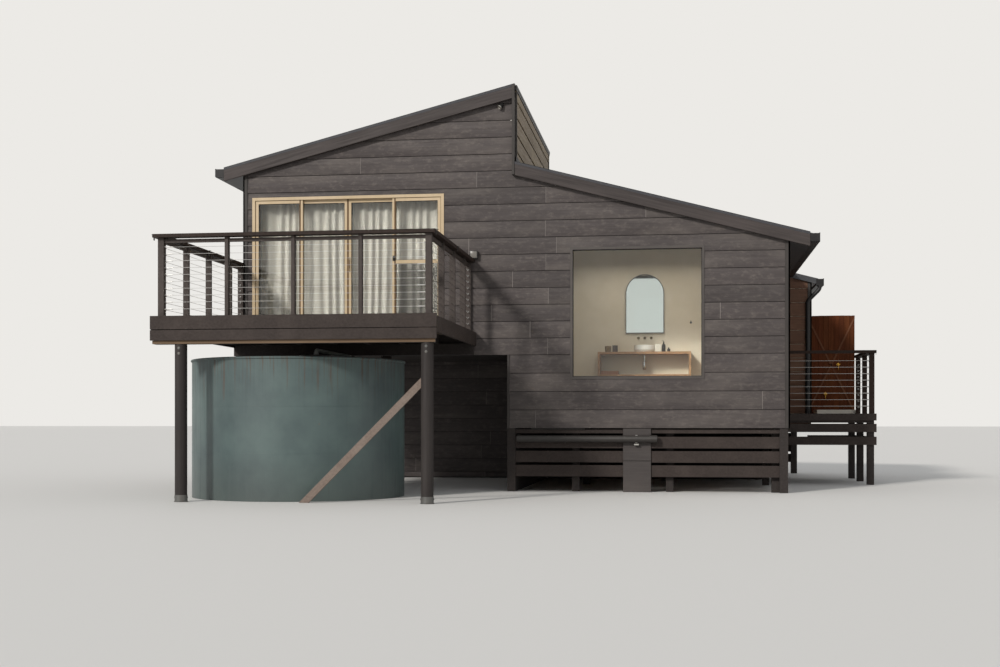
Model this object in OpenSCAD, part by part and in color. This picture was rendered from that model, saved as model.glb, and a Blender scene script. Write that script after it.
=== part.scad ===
/* [House walls] */
// Width from the line of the roof step to the left wall's outer face
left_w = 4145; // [3500:5:5200]
// Width from the line of the roof step to the right wall's outer face
right_w = 4080; // [3300:5:5200]
// Depth of the main house over its front and back walls
house_d = 4900; // [4100:10:6000]
// Thickness of the outside walls
wall_t = 120; // [90:5:150]
// Height of the lower wall's bottom edge over the lowest ground
skirt_z = 950; // [800:10:1100]
// Height of the upper wall's bottom edge, over the open undercroft
upper_wall_z = 2050; // [1900:10:2140]
// Height of the lower floor's top
lower_floor_z = 1220; // [1180:10:1400]
// Height of the upper floor's top
upper_floor_z = 2390; // [2360:10:2600]
// Thickness of both floors with their joists
floor_t = 220; // [150:10:220]

/* [Roofs] */
// Pitch of the high roof, which falls to the left, in degrees
high_pitch = 14.2; // [11:0.1:16]
// Pitch of the low roof, which falls to the right, in degrees
low_pitch = 14.7; // [11:0.1:16]
// Height of the high roof's top at the step
high_z = 6105; // [5800:5:6600]
// Height of the low roof's top at the step
low_z = 4942; // [4700:5:5100]
// Upright thickness of the roofs
roof_t = 190; // [140:5:240]
// Drop of the roofs' decks below the tops of the barge boards, which the roof sheets fill
sheet_drop = 20; // [10:2:30]
// Reach of the roofs past the side walls
eave_out = 310; // [200:10:420]
// Reach of the roofs past the front and back walls
gable_out = 60; // [40:5:120]
// Thickness of a barge board
barge_t = 40; // [25:5:50]
// Upright depth of a barge board
barge_h = 210; // [195:5:260]
// Width of a gutter
gutter_w = 138; // [100:2:150]
// Depth of a gutter
gutter_h = 120; // [90:5:130]
// Wall of gutters and pipes
sheet_t = 6; // [4:1:8]
// Width of a downpipe along the wall
downpipe_w = 100; // [80:5:110]
// Depth of a downpipe out from the wall
downpipe_t = 75; // [50:5:80]

/* [Sliding doors] */
// Width of the front sliding door unit
door_w = 3000; // [2400:10:3000]
// Height of every sliding door unit
door_h = 2105; // [1900:5:2150]
// Width of the side and back units, half as many panels
small_door_w = 1540; // [1200:10:1700]
// Face width of the outer frame
door_frame_w = 45; // [30:5:60]
// Depth of the outer frame, from face to face
door_frame_d = 100; // [85:5:110]
// Reach of every door and window frame out of its wall's face, which the wall's boards fill
frame_out = 25; // [20:1:30]
// Face width of a sash stile or rail
stile_w = 52; // [40:2:70]
// Thickness of a sash
sash_t = 32; // [24:2:36]
// Thickness of every pane
glass_t = 8; // [6:1:10]
// Height of the last panel's mid rail over the floor
mid_rail_z = 1060; // [900:10:1200]

/* [Windows] */
// Distance from the line of the roof step to the picture window
window_x = 890; // [700:5:1000]
// Width of the picture window
window_w = 1980; // [1600:5:2100]
// Height of its bottom edge
window_z = 1680; // [1500:5:1800]
// Height of the picture window
window_h = 1965; // [1600:5:1980]
// Face width of window frames
window_frame_w = 35; // [25:5:50]
// Width of the plain windows at the sides that are not seen
plain_window_w = 1500; // [1000:10:1700]
// Height of the plain windows
plain_window_h = 1000; // [700:10:1100]

/* [Bathroom] */
// Distance of the bathroom's back wall from the front wall's centre line
partition_y = 2000; // [1600:10:2600]
// Thickness of the bathroom's back wall
partition_t = 90; // [70:5:120]
// Middle of the vanity, basin, taps and mirror across the house
vanity_x = 1940; // [1800:5:2000]
// Width of the vanity
vanity_w = 1490; // [1200:10:1600]
// Depth of the vanity
vanity_d = 430; // [380:10:520]
// Height of the vanity's top over the lower floor
vanity_z = 950; // [850:10:1000]
// Height of the open box under the top
vanity_h = 400; // [300:10:450]
// Board thickness of the vanity
board_t = 36; // [24:2:44]
// Diameter of the round basin
basin_d = 336; // [300:4:380]
// Height of the basin
basin_h = 112; // [90:2:130]
// Distance between the three wall taps
tap_pitch = 104; // [90:2:120]
// Width of the arched mirror
mirror_w = 623; // [500:1:700]
// Height of the arched mirror
mirror_h = 962; // [800:2:1000]

/* [Balcony] */
// Distance of the balcony's right edge from the line of the roof step
balcony_right = 530; // [400:10:700]
// Width of the balcony
balcony_w = 3790; // [3400:10:4000]
// Reach of the balcony in front of the wall
balcony_d = 3300; // [3200:10:3500]
// Thickness of the deck boards
deck_t = 32; // [24:2:40]
// Height of the upper fascia board at the front
fascia_h = 175; // [150:5:190]
// Reach of that board over the deck
fascia_up = 30; // [0:5:40]
// Height of the lower fascia board at the front
fascia_low_h = 135; // [110:5:160]
// Height of the fascia boards at the sides
fascia_side_h = 205; // [150:5:240]
// Thickness of a fascia board
fascia_t = 35; // [25:5:45]
// Gap between two boards of the front fascia
fascia_gap = 10; // [6:2:14]
// Width of a joist
joist_w = 45; // [35:5:60]
// Height of a joist
joist_h = 140; // [120:5:160]
// Height of the two bearers
bearer_h = 165; // [140:5:200]
// Number of joists
joist_count = 8; // [6:1:10]
// Diameter of the round posts
post_d = 160; // [150:5:200]
// Distance from the balcony's right edge to the centre of the right round post
right_post_in = 140; // [130:5:200]
// Distance from the balcony's left edge to the centre of the left round post
left_post_in = 380; // [200:5:400]
// Width of the brace
brace_w = 90; // [70:5:110]
// Thickness of the brace
brace_t = 45; // [35:5:50]
// Height at which the brace meets its post
brace_z = 1600; // [1300:10:1750]

/* [Balustrades] */
// Height of the handrail's top over the deck
rail_h = 1100; // [1000:5:1200]
// Width of the handrail
rail_w = 140; // [100:5:150]
// Thickness of the handrail
rail_t = 45; // [35:5:55]
// Height of the rail just under the handrail
subrail_h = 45; // [35:5:60]
// Gap between the handrail and the rail under it
subrail_gap = 18; // [10:2:30]
// Width of a square corner post, and of every post across its balustrade
rail_post = 80; // [60:5:90]
// Width of a post between the corners along its balustrade
post_along = 45; // [40:5:60]
// Distance from the balcony's edge to the centre line of its posts
rail_in = 118; // [110:1:130]
// Distance of the balcony's handrail outward from the centre line of its posts
rail_out = 25; // [0:5:30]
// Number of bays along the balcony's front
front_bays = 4; // [3:1:5]
// Number of bays along each of the balcony's sides, the last one up to the wall
side_bays = 4; // [3:1:4]
// Pitch of the posts along each of the balcony's sides
side_bay = 870; // [750:10:950]
// Diameter of a wire
wire_d = 5; // [4:0.5:6]
// Play of a wire all round in the holes of the posts that it passes
wire_play = 1.5; // [1:0.5:2]
// Number of wires on the balcony
wire_count = 10; // [8:1:11]
// Distance between two wires on the balcony
wire_pitch = 90; // [80:1:95]
// Diameter of the sleeve of a wire's end fitting
fitting_d = 13; // [10:1:16]
// Length of the sleeve of a wire's end fitting
fitting_l = 110; // [80:5:140]

/* [Water tank] */
// Distance of the tank's middle from the line of the roof step
tank_left = 2815; // [2700:5:2850]
// Gap between the tank and the wall behind it
tank_gap = 110; // [80:5:150]
// Diameter of the tank
tank_d = 2960; // [2400:10:2980]
// Height of the tank
tank_h = 1866; // [1500:2:1880]
// Wall of the tank
tank_t = 12; // [8:1:20]
// Diameter of the bead round the rim
bead_d = 34; // [24:2:44]
// Rise of the tank's roof to its middle
tank_rise = 60; // [40:5:80]

/* [Under the floor] */
// Width of a square stump or post
stump_w = 110; // [90:5:115]
// Width of the pier panel
pier_w = 413; // [350:1:480]
// Distance from the line of the roof step to the pier panel
pier_x = 1674; // [1500:1:1800]
// Height of a slat of the skirt
slat_h = 170; // [130:5:172]
// Pitch of the slats
slat_pitch = 212; // [190:1:230]
// Number of slats under each other
slat_count = 3; // [2:1:3]
// Thickness of a slat
slat_t = 22; // [18:1:30]
// Outer diameter of the waste pipe
waste_d = 104; // [90:2:115]
// Height of the waste pipe's centre line
waste_z = 788; // [700:2:830]
// Outer diameter of the conduit
conduit_d = 25; // [20:1:32]

/* [Side deck] */
// Reach of the side deck past the right wall
side_deck_w = 1650; // [1400:10:1900]
// Distance of the side deck's front edge forward of the back wall's outer face
side_deck_run = 2100; // [1900:10:2300]
// Length of the side deck from its front edge to the screen
side_deck_d = 2650; // [2400:10:3000]
// Height of the side deck's top
side_deck_z = 1180; // [1150:10:1210]
// Number of bays along the side deck's right edge
side_deck_bays = 2; // [2:1:3]
// Number of wires round the side deck
side_wire_count = 8; // [6:1:8]
// Distance between two wires round the side deck
side_wire_pitch = 108; // [95:1:112]
// Height of the screen over the side deck
screen_h = 1830; // [1600:10:1900]
// Width of the uprights and rails behind the screen
screen_frame = 45; // [35:5:70]
// Thickness of the screen's boards
screen_t = 20; // [15:1:30]

/* [Rear wing] */
// Depth of the rear wing behind the main house
wing_d = 2900; // [2600:10:3600]
// Width of the rear wing from the line of the roof step
wing_w = 4850; // [4600:10:5000]
// Reach of the wing's roof past its right wall
wing_out = 100; // [60:5:200]
// Upright thickness of the wing's roof
wing_roof_t = 110; // [80:5:120]

/* [Hidden] */
half_t = wall_t / 2;
x_left = -left_w;
x_right = right_w;
y_front = -half_t;
y_back = house_d - half_t;
in_left = x_left + wall_t;
in_right = x_right - wall_t;
in_front = half_t;
in_back = y_back - wall_t;
roof_y0 = y_front - gable_out;
roof_y1 = y_back + gable_out;
eave_left = x_left - eave_out;
eave_right = x_right + eave_out;
high_slope = tan(high_pitch);
low_slope = tan(low_pitch);
function high_top(x) = high_z - (half_t - x) * high_slope;
function high_under(x) = high_top(x) - roof_t;
function low_top(x) = low_z - (x - half_t) * low_slope;
function low_under(x) = low_top(x) - roof_t;

door_x0 = in_left;
door_x1 = door_x0 + door_w;
door_z1 = upper_floor_z + door_h;
window_x1 = window_x + window_w;
window_z1 = window_z + window_h;
cut_past = 1;
side_deck_y = y_back - side_deck_run;

// Plain openings of the sides that are not seen
plain_window_z = upper_floor_z + 900;
left_window_y = (in_front + in_back - plain_window_w) / 2;
back_window_x = (in_left - half_t - plain_window_w) / 2;
side_door_y = side_deck_y + 200;
wing_door_x = 700;
wing_window_x = 2900;
wing_window_z = lower_floor_z + 1000;
link_x = 1900;
link_w = 1000;
link_h = 2100;

balcony_x1 = -balcony_right;
balcony_x0 = balcony_x1 - balcony_w;
balcony_y0 = y_front - balcony_d;
joist_top = upper_floor_z - deck_t;
bearer_top = joist_top - joist_h;
bearer_z = bearer_top - bearer_h;
bearer_w = 120;
front_bearer_y = balcony_y0 + fascia_t;
back_bearer_y = y_front - bearer_w;
post_y = balcony_y0 + fascia_t + post_d / 2;
left_post_x = balcony_x0 + left_post_in;
right_post_x = balcony_x1 - right_post_in;
rail_x0 = balcony_x0 + rail_in;
rail_x1 = balcony_x1 - rail_in;
rail_y0 = balcony_y0 + rail_in;
rail_top = upper_floor_z + rail_h;
wall_post_y = y_front - frame_out - post_along / 2;
wire_z0 = upper_floor_z + 127;

tank_x = -tank_left;
tank_y = y_front - tank_gap - tank_d / 2;
tank_floor_t = 20;

deck_x1 = x_right + side_deck_w;
deck_y1 = side_deck_y + side_deck_d;
side_rail_in = 70;
side_rail_x = deck_x1 - side_rail_in;
side_rail_y = side_deck_y + side_rail_in;
side_rail_h = 1050;
side_rail_top = side_deck_z + side_rail_h;
side_wire_z0 = side_deck_z + 124;
side_fascia_h = 115;
side_board_gap = 55;
side_lower_gap = 75;
side_joist_pitch = 450;
side_board_h = 138;
side_joist_h = 120;
side_joist_z = side_deck_z - deck_t - side_joist_h;
screen_in = 60;
screen_y = deck_y1 - screen_in;
tray_x0 = deck_x1 - 780;
tray_x1 = deck_x1 - 30;
tray_y0 = screen_y - 760;
tray_y1 = screen_y - 40;
side_rail_end = tray_y0 - 10 - post_along / 2;

wing_x1 = wing_w;
wing_y1 = y_back + wing_d;
wing_eave = wing_x1 + wing_out;
wing_y0 = roof_y1 + barge_t;
lap_y0 = y_back - downpipe_t;
function wing_under(x) = low_top(x) - wing_roof_t;

// A block between two corners
module block(x0, x1, y0, y1, z0, z1) {
    translate([x0, y0, z0]) cube([x1 - x0, y1 - y0, z1 - z0]);
}

// A plate with its outline in X and Z, between two values of Y
module xz_plate(outline, y0, y1) {
    translate([0, y1, 0]) rotate([90, 0, 0]) linear_extrude(height = y1 - y0) polygon(outline);
}

// A round bar along X, Y or Z from a start point
module bar_x(x0, x1, y, z, d, n = 16) {
    translate([x0, y, z]) rotate([0, 90, 0]) cylinder(h = x1 - x0, d = d, $fn = n);
}
module bar_y(x, y0, y1, z, d, n = 16) {
    translate([x, y0, z]) rotate([-90, 0, 0]) cylinder(h = y1 - y0, d = d, $fn = n);
}
module bar_z(x, y, z0, z1, d, n = 16) {
    translate([x, y, z0]) cylinder(h = z1 - z0, d = d, $fn = n);
}

// Outline of the front wall, from its lower left corner
front_outline = [
    [x_left, upper_wall_z], [-half_t, upper_wall_z], [-half_t, skirt_z], [x_right, skirt_z],
    [x_right, low_under(x_right)], [half_t, low_under(half_t)],
    [half_t, high_under(half_t)], [x_left, high_under(x_left)]
];

module front_wall() {
    color("#4a4648") difference() {
        xz_plate(front_outline, y_front, in_front);
        block(door_x0, door_x1, y_front - cut_past, in_front + cut_past, upper_floor_z, door_z1);
        block(window_x, window_x1, y_front - cut_past, in_front + cut_past, window_z, window_z1);
    }
}

module left_wall() {
    outline = [
        [x_left, upper_wall_z], [in_left, upper_wall_z],
        [in_left, high_under(in_left)], [x_left, high_under(x_left)]
    ];
    color("#464244") difference() {
        xz_plate(outline, in_front, in_back);
        block(x_left - cut_past, in_left + cut_past, left_window_y, left_window_y + plain_window_w,
            plain_window_z, plain_window_z + plain_window_h);
    }
}

module right_wall() {
    outline = [
        [in_right, skirt_z], [x_right, skirt_z],
        [x_right, low_under(x_right)], [in_right, low_under(in_right)]
    ];
    color("#464244") difference() {
        xz_plate(outline, in_front, in_back);
        block(in_right - cut_past, x_right + cut_past, side_door_y, side_door_y + small_door_w,
            lower_floor_z, lower_floor_z + door_h);
    }
}

module back_wall() {
    outline = [
        [x_left, 0], [x_right, 0],
        [x_right, low_under(x_right)], [half_t, low_under(half_t)],
        [half_t, high_under(half_t)], [x_left, high_under(x_left)]
    ];
    color("#464244") difference() {
        xz_plate(outline, in_back, y_back);
        block(back_window_x, back_window_x + plain_window_w, in_back - cut_past, y_back + cut_past,
            plain_window_z, plain_window_z + plain_window_h);
        block(link_x, link_x + link_w, in_back - cut_past, y_back + cut_past,
            lower_floor_z, lower_floor_z + link_h);
    }
}

module undercroft_wall() {
    color("#3c393b") block(-half_t, half_t, in_front, in_back, 0, upper_floor_z);
}

module clerestory_wall() {
    beam_z = low_under(half_t) - 120;
    outline = [
        [-half_t, beam_z], [half_t, beam_z],
        [half_t, high_under(half_t)], [-half_t, high_under(-half_t)]
    ];
    color("#6b6450") xz_plate(outline, in_front, in_back);
}

// Outlines of the two roofs
high_outline = [
    [eave_left, high_under(eave_left)], [half_t, high_under(half_t)],
    [half_t, high_top(half_t) - sheet_drop], [eave_left, high_top(eave_left) - sheet_drop]
];
low_outline = [
    [half_t, low_under(half_t)], [eave_right, low_under(eave_right)],
    [eave_right, low_top(eave_right) - sheet_drop], [half_t, low_top(half_t) - sheet_drop]
];

module high_roof() {
    color("#3f3f42") xz_plate(high_outline, roof_y0, roof_y1);
}

module low_roof() {
    color("#3f3f42") xz_plate(low_outline, roof_y0, roof_y1);
}

// One barge board on a roof's end, its top flush with the roof sheets
module barge(x0, z0, x1, z1, y0) {
    xz_plate([[x0, z0 - barge_h], [x1, z1 - barge_h], [x1, z1], [x0, z0]], y0, y0 + barge_t);
}

// The lower barge boards stop this far before the eave
barge_stop = 120;
module barge_boards() {
    low_end = eave_right - barge_stop;
    color("#3b383a") for (y = [roof_y0 - barge_t, roof_y1]) {
        barge(eave_left, high_top(eave_left), half_t, high_top(half_t), y);
        barge(half_t, low_top(half_t), low_end, low_top(low_end), y);
    }
}

// A square gutter along Y with closed ends, its back against an eave
module gutter(x, y0, y1, z_top) {
    difference() {
        block(x, x + gutter_w, y0, y1, z_top - gutter_h, z_top);
        block(x + sheet_t, x + gutter_w - sheet_t, y0 + sheet_t, y1 - sheet_t,
            z_top - gutter_h + sheet_t, z_top + cut_past);
    }
}

gutter_drop = sheet_drop + 5;
left_gutter_z = high_top(eave_left) - gutter_drop;
right_gutter_z = low_top(eave_right) - gutter_drop;
wing_gutter_z = low_top(wing_eave) - gutter_drop;

// The right gutter stops this far before the wing's roof
gutter_stop = 65;
module gutters() {
    color("#37363a") {
        gutter(eave_left - gutter_w, roof_y0 - barge_t, wing_y0, left_gutter_z);
        gutter(eave_right, roof_y0 - barge_t, lap_y0 - gutter_stop, right_gutter_z);
        gutter(wing_eave, lap_y0, wing_y1 + gable_out, wing_gutter_z);
    }
}

// A folded downpipe with two mitred bends of 45 degrees, drawn from its gutter's outlet at x_out to its
// lower length at x_foot, t thick along X and reaching from y0 to y1
downpipe_lead = 60;
module downpipe(x_out, x_foot, t, y0, y1, z_top, z_foot) {
    half = t / 2;
    side = x_foot > x_out ? 1 : -1;
    run = abs(x_foot - x_out);
    mitre = half * tan(22.5);
    z1 = z_top - downpipe_lead;
    z2 = z1 - run;
    outline = [
        [-half, z_top], [-half, z1 - mitre], [run - half, z2 - mitre], [run - half, z_foot],
        [run + half, z_foot], [run + half, z2 + mitre], [half, z1 + mitre], [half, z_top]
    ];
    xz_plate([for (p = outline) [x_out + side * p[0], p[1]]], y0, y1);
}

module downpipes() {
    color("#37363a") {
        downpipe(wing_eave + gutter_w / 2, wing_x1 - downpipe_w / 2, downpipe_w, lap_y0, y_back,
            wing_gutter_z - gutter_h, side_deck_z);
        downpipe(eave_left - gutter_w / 2, x_left - downpipe_t / 2, downpipe_t, in_back, in_back + downpipe_w,
            left_gutter_z - gutter_h, 0);
    }
}

module upper_floor() {
    color("#8a6a4a") block(in_left, -half_t, in_front, in_back, upper_floor_z - floor_t, upper_floor_z);
}

module lower_floor() {
    color("#8a6a4a") {
        block(half_t, in_right, in_front, in_back, lower_floor_z - floor_t, lower_floor_z);
        block(half_t, wing_x1 - wall_t, y_back + wall_t, wing_y1 - wall_t,
            lower_floor_z - floor_t, lower_floor_z);
        block(half_t, x_right, y_back, y_back + wall_t, lower_floor_z - floor_t, lower_floor_z);
    }
}

module bathroom_wall() {
    outline = [
        [half_t, lower_floor_z], [in_right, lower_floor_z],
        [in_right, low_under(in_right)], [half_t, low_under(half_t)]
    ];
    color("#c9b79c") xz_plate(outline, partition_y, partition_y + partition_t);
}

// An upright frame in a wall that faces Y, drawn from its lower left corner
module frame_y(x0, w, z0, h, y0, y1, bar) {
    difference() {
        block(x0, x0 + w, y0, y1, z0, z0 + h);
        block(x0 + bar, x0 + w - bar, y0 - cut_past, y1 + cut_past, z0 + bar, z0 + h - bar);
    }
}
module frame_x(y0, w, z0, h, x0, x1, bar) {
    difference() {
        block(x0, x1, y0, y0 + w, z0, z0 + h);
        block(x0 - cut_past, x1 + cut_past, y0 + bar, y0 + w - bar, z0 + bar, z0 + h - bar);
    }
}

// The front unit: four panels, the outer two in the front track
door_y0 = y_front - frame_out;
panel_w = (door_w - 2 * door_frame_w + stile_w) / 4 + stile_w / 4;
sash_z0 = upper_floor_z + door_frame_w;
sash_h = door_h - 2 * door_frame_w;
track_gap = 8;
track_in = (door_frame_d - 2 * sash_t - track_gap) / 2;
track_y = [door_y0 + track_in, door_y0 + track_in + sash_t + track_gap];

// Left edge of each panel and the track it runs in
function panel_x(i) = i < 2
    ? door_x0 + door_frame_w + i * (panel_w - stile_w)
    : door_x1 - door_frame_w - panel_w - (3 - i) * (panel_w - stile_w);
function panel_y(i) = (i == 0 || i == 3) ? track_y[0] : track_y[1];

module sliding_door_frame() {
    color("#d8c39a") frame_y(door_x0, door_w, upper_floor_z, door_h,
        door_y0, door_y0 + door_frame_d, door_frame_w);
}

module sliding_door_sashes() {
    color("#d8c39a") for (i = [0 : 3]) {
        frame_y(panel_x(i), panel_w, sash_z0, sash_h, panel_y(i), panel_y(i) + sash_t, stile_w);
        if (i == 3) block(panel_x(i) + stile_w, panel_x(i) + panel_w - stile_w, panel_y(i), panel_y(i) + sash_t,
            upper_floor_z + mid_rail_z, upper_floor_z + mid_rail_z + stile_w);
    }
}

module sliding_door_glass() {
    color("#a9b4b8", 0.4) for (i = [0 : 3]) {
        pane_y = panel_y(i) + (sash_t - glass_t) / 2;
        x0 = panel_x(i) + stile_w;
        x1 = panel_x(i) + panel_w - stile_w;
        z_mid = upper_floor_z + mid_rail_z;
        if (i == 3) {
            block(x0, x1, pane_y, pane_y + glass_t, sash_z0 + stile_w, z_mid);
            block(x0, x1, pane_y, pane_y + glass_t, z_mid + stile_w, sash_z0 + sash_h - stile_w);
        } else block(x0, x1, pane_y, pane_y + glass_t, sash_z0 + stile_w, sash_z0 + sash_h - stile_w);
    }
}

// Closed curtains hang behind the two pairs of panels
curtain_t = 70;
curtain_y = in_front + 40;
curtain_gap = 60;
curtain_lift = 15;
curtain_track = 30;
module curtains() {
    mid = (door_x0 + door_x1) / 2;
    z0 = upper_floor_z + curtain_lift;
    z1 = door_z1 + 10;
    color("#b9b6b4") {
        block(door_x0 + curtain_gap, door_x1 - curtain_gap, in_front, curtain_y + curtain_t,
            z1, z1 + curtain_track);
        block(door_x0 + curtain_gap, mid - curtain_gap / 2, curtain_y, curtain_y + curtain_t, z0, z1);
        block(mid + curtain_gap / 2, door_x1 - curtain_gap, curtain_y, curtain_y + curtain_t, z0, z1);
    }
}

// Depths of the window frames and of the panes' faces behind the walls' outer faces
frame_in = 80;
pane_in = 30;

module picture_window_frame() {
    color("#4c4a4a") frame_y(window_x, window_w, window_z, window_h,
        y_front - frame_out, y_front + frame_in, window_frame_w);
}

module picture_window_glass() {
    pane_y(window_x, window_w, window_z, window_h, y_front + pane_in, window_frame_w);
}

// A pane inside a frame of the same outline, its nearer face at y or x
module pane_y(x0, w, z0, h, y, bar) {
    color("#a9b4b8", 0.35) block(x0 + bar, x0 + w - bar, y, y + glass_t, z0 + bar, z0 + h - bar);
}
module pane_x(y0, w, z0, h, x, bar) {
    color("#a9b4b8", 0.35) block(x, x + glass_t, y0 + bar, y0 + w - bar, z0 + bar, z0 + h - bar);
}

module plain_window_frames() {
    b = window_frame_w;
    d = door_frame_w;
    color("#d8c39a") {
        frame_x(left_window_y, plain_window_w, plain_window_z, plain_window_h,
            x_left - frame_out, x_left + frame_in, b);
        frame_y(back_window_x, plain_window_w, plain_window_z, plain_window_h,
            y_back - frame_in, y_back + frame_out, b);
        frame_x(side_door_y, small_door_w, lower_floor_z, door_h, x_right - frame_in, x_right + frame_out, d);
        frame_y(wing_door_x, small_door_w, lower_floor_z, door_h, wing_y1 - frame_in, wing_y1 + frame_out, d);
        frame_y(wing_window_x, plain_window_w, wing_window_z, plain_window_h,
            wing_y1 - frame_in, wing_y1 + frame_out, b);
    }
}

module plain_window_glass() {
    b = window_frame_w;
    d = door_frame_w;
    deep = pane_in + glass_t;
    pane_x(left_window_y, plain_window_w, plain_window_z, plain_window_h, x_left + pane_in, b);
    pane_y(back_window_x, plain_window_w, plain_window_z, plain_window_h, y_back - deep, b);
    pane_x(side_door_y, small_door_w, lower_floor_z, door_h, x_right - deep, d);
    pane_y(wing_door_x, small_door_w, lower_floor_z, door_h, wing_y1 - deep, d);
    pane_y(wing_window_x, plain_window_w, wing_window_z, plain_window_h, wing_y1 - deep, b);
}

// Open box of thick boards on the bathroom's back wall
vanity_top = lower_floor_z + vanity_z;
module vanity() {
    x0 = vanity_x - vanity_w / 2;
    x1 = vanity_x + vanity_w / 2;
    y0 = partition_y - vanity_d;
    color("#b07a45") difference() {
        block(x0, x1, y0, partition_y, vanity_top - vanity_h, vanity_top);
        block(x0 + board_t, x1 - board_t, y0 - cut_past, partition_y - board_t,
            vanity_top - vanity_h + board_t, vanity_top - board_t);
    }
}

basin_wall = 9;
module basin() {
    wall = basin_wall;
    r = basin_d / 2;
    color("#e6e2da") translate([vanity_x, partition_y - vanity_d / 2, vanity_top])
        rotate_extrude($fn = 48) polygon([
            [0, 0], [r - 22, 0], [r, 40], [r, basin_h], [r - wall, basin_h],
            [r - wall, 42], [r - 26, 16], [0, 12]
        ]);
}

// A spout between two wall taps
tap_up = 245;
module wall_taps() {
    z = vanity_top + tap_up;
    color("#2b2b2c") {
        for (side = [-1, 1]) translate([vanity_x + side * tap_pitch, partition_y, z]) rotate([90, 0, 0]) {
            cylinder(h = 12, d = 46, $fn = 32);
            cylinder(h = 60, d = 24, $fn = 24);
        }
        translate([vanity_x, partition_y, z]) rotate([90, 0, 0]) {
            cylinder(h = 12, d = 46, $fn = 32);
            cylinder(h = 190, d = 20, $fn = 24);
        }
    }
}

mirror_up = 1272;
mirror_t = 25;
module mirror() {
    r = mirror_w / 2;
    z0 = lower_floor_z + mirror_up;
    color("#20201f") translate([vanity_x, partition_y, z0]) rotate([90, 0, 0])
        linear_extrude(height = mirror_t) union() {
            translate([-r, 0]) square([mirror_w, mirror_h - r]);
            translate([0, mirror_h - r]) circle(r = r, $fn = 64);
        }
}

// Bearers on the posts, a ledger on the wall, and joists over them
module balcony_frame() {
    x0 = balcony_x0 + fascia_t;
    x1 = balcony_x1 - fascia_t;
    y1 = balcony_y0 + fascia_t;
    step = (x1 - x0 - joist_w) / (joist_count - 1);
    color("#3a2f2a") {
        for (y = [front_bearer_y, back_bearer_y])
            block(x0, x1, y, y + bearer_w, bearer_z, bearer_top);
        for (i = [0 : joist_count - 1])
            block(x0 + i * step, x0 + i * step + joist_w, y1, y_front - joist_w, bearer_top, joist_top);
        block(x0, x1, y_front - joist_w, y_front, bearer_top, joist_top);
    }
}

module balcony_deck() {
    color("#6a5a4c") block(balcony_x0 + fascia_t, balcony_x1 - fascia_t, balcony_y0 + fascia_t, y_front,
        joist_top, upper_floor_z);
}

module balcony_fascia() {
    top = upper_floor_z + fascia_up;
    low = top - fascia_h - fascia_gap;
    color("#4a4749") {
        block(balcony_x0, balcony_x1, balcony_y0, balcony_y0 + fascia_t, top - fascia_h, top);
        block(balcony_x0, balcony_x1, balcony_y0, balcony_y0 + fascia_t, low - fascia_low_h, low);
        for (x = [balcony_x0, balcony_x1 - fascia_t])
            block(x, x + fascia_t, balcony_y0 + fascia_t, y_front, upper_floor_z - fascia_side_h, upper_floor_z);
    }
}

module balcony_posts() {
    color("#3a3838") for (x = [left_post_x, right_post_x])
        bar_z(x, post_y, 0, bearer_z, post_d, 48);
}

// A prop from the ground up to the right post, its foot cut level and its head hollowed to the post
module brace() {
    head_x = right_post_x - post_d / 2;
    cut = brace_w * sqrt(2);
    seat = 15;
    outline = [
        [head_x + seat, brace_z + seat], [head_x + seat, brace_z + seat - cut],
        [head_x - (brace_z - cut), 0], [head_x - brace_z, 0]
    ];
    color("#7a6a60") difference() {
        xz_plate(outline, post_y - brace_t / 2, post_y + brace_t / 2);
        bar_z(right_post_x, post_y, -cut_past, bearer_z, post_d, 48);
    }
}

function subrail_top(z_top) = z_top - rail_t - subrail_gap;
subrail_t = 40;
front_bay = (rail_x1 - rail_x0) / front_bays;
function side_post_y(i) = i < side_bays ? rail_y0 + i * side_bay : wall_post_y;

// Holes through a post, one for each wire, across X or Y
wire_hole_d = wire_d + 2 * wire_play;
module wire_holes_x(x, y, z0, count, pitch) {
    for (k = [0 : count - 1])
        bar_x(x - rail_post, x + rail_post, y, z0 + k * pitch, wire_hole_d, 14);
}
module wire_holes_y(x, y, z0, count, pitch) {
    for (k = [0 : count - 1])
        bar_y(x, y - rail_post, y + rail_post, z0 + k * pitch, wire_hole_d, 14);
}

// Square corner posts, and between them narrow posts that are drilled for the wires
module balcony_rail_front() {
    half = rail_post / 2;
    slim = post_along / 2;
    handrail_y = rail_y0 - rail_out;
    color("#3a2d2b") {
        for (x = [rail_x0, rail_x1])
            block(x - half, x + half, rail_y0 - half, rail_y0 + half, upper_floor_z, rail_top - rail_t);
        for (i = [1 : front_bays - 1]) difference() {
            x = rail_x0 + i * front_bay;
            block(x - slim, x + slim, rail_y0 - half, rail_y0 + half, upper_floor_z, rail_top - rail_t);
            wire_holes_x(x, rail_y0, wire_z0, wire_count, wire_pitch);
        }
        block(rail_x0 - rail_out - rail_w / 2, rail_x1 + rail_out + rail_w / 2,
            handrail_y - rail_w / 2, handrail_y + rail_w / 2, rail_top - rail_t, rail_top);
        for (i = [0 : front_bays - 1]) {
            end0 = i == 0 ? half : slim;
            end1 = i == front_bays - 1 ? half : slim;
            block(rail_x0 + i * front_bay + end0, rail_x0 + (i + 1) * front_bay - end1,
                rail_y0 - subrail_t / 2, rail_y0 + subrail_t / 2,
                subrail_top(rail_top) - subrail_h, subrail_top(rail_top));
        }
    }
}

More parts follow.
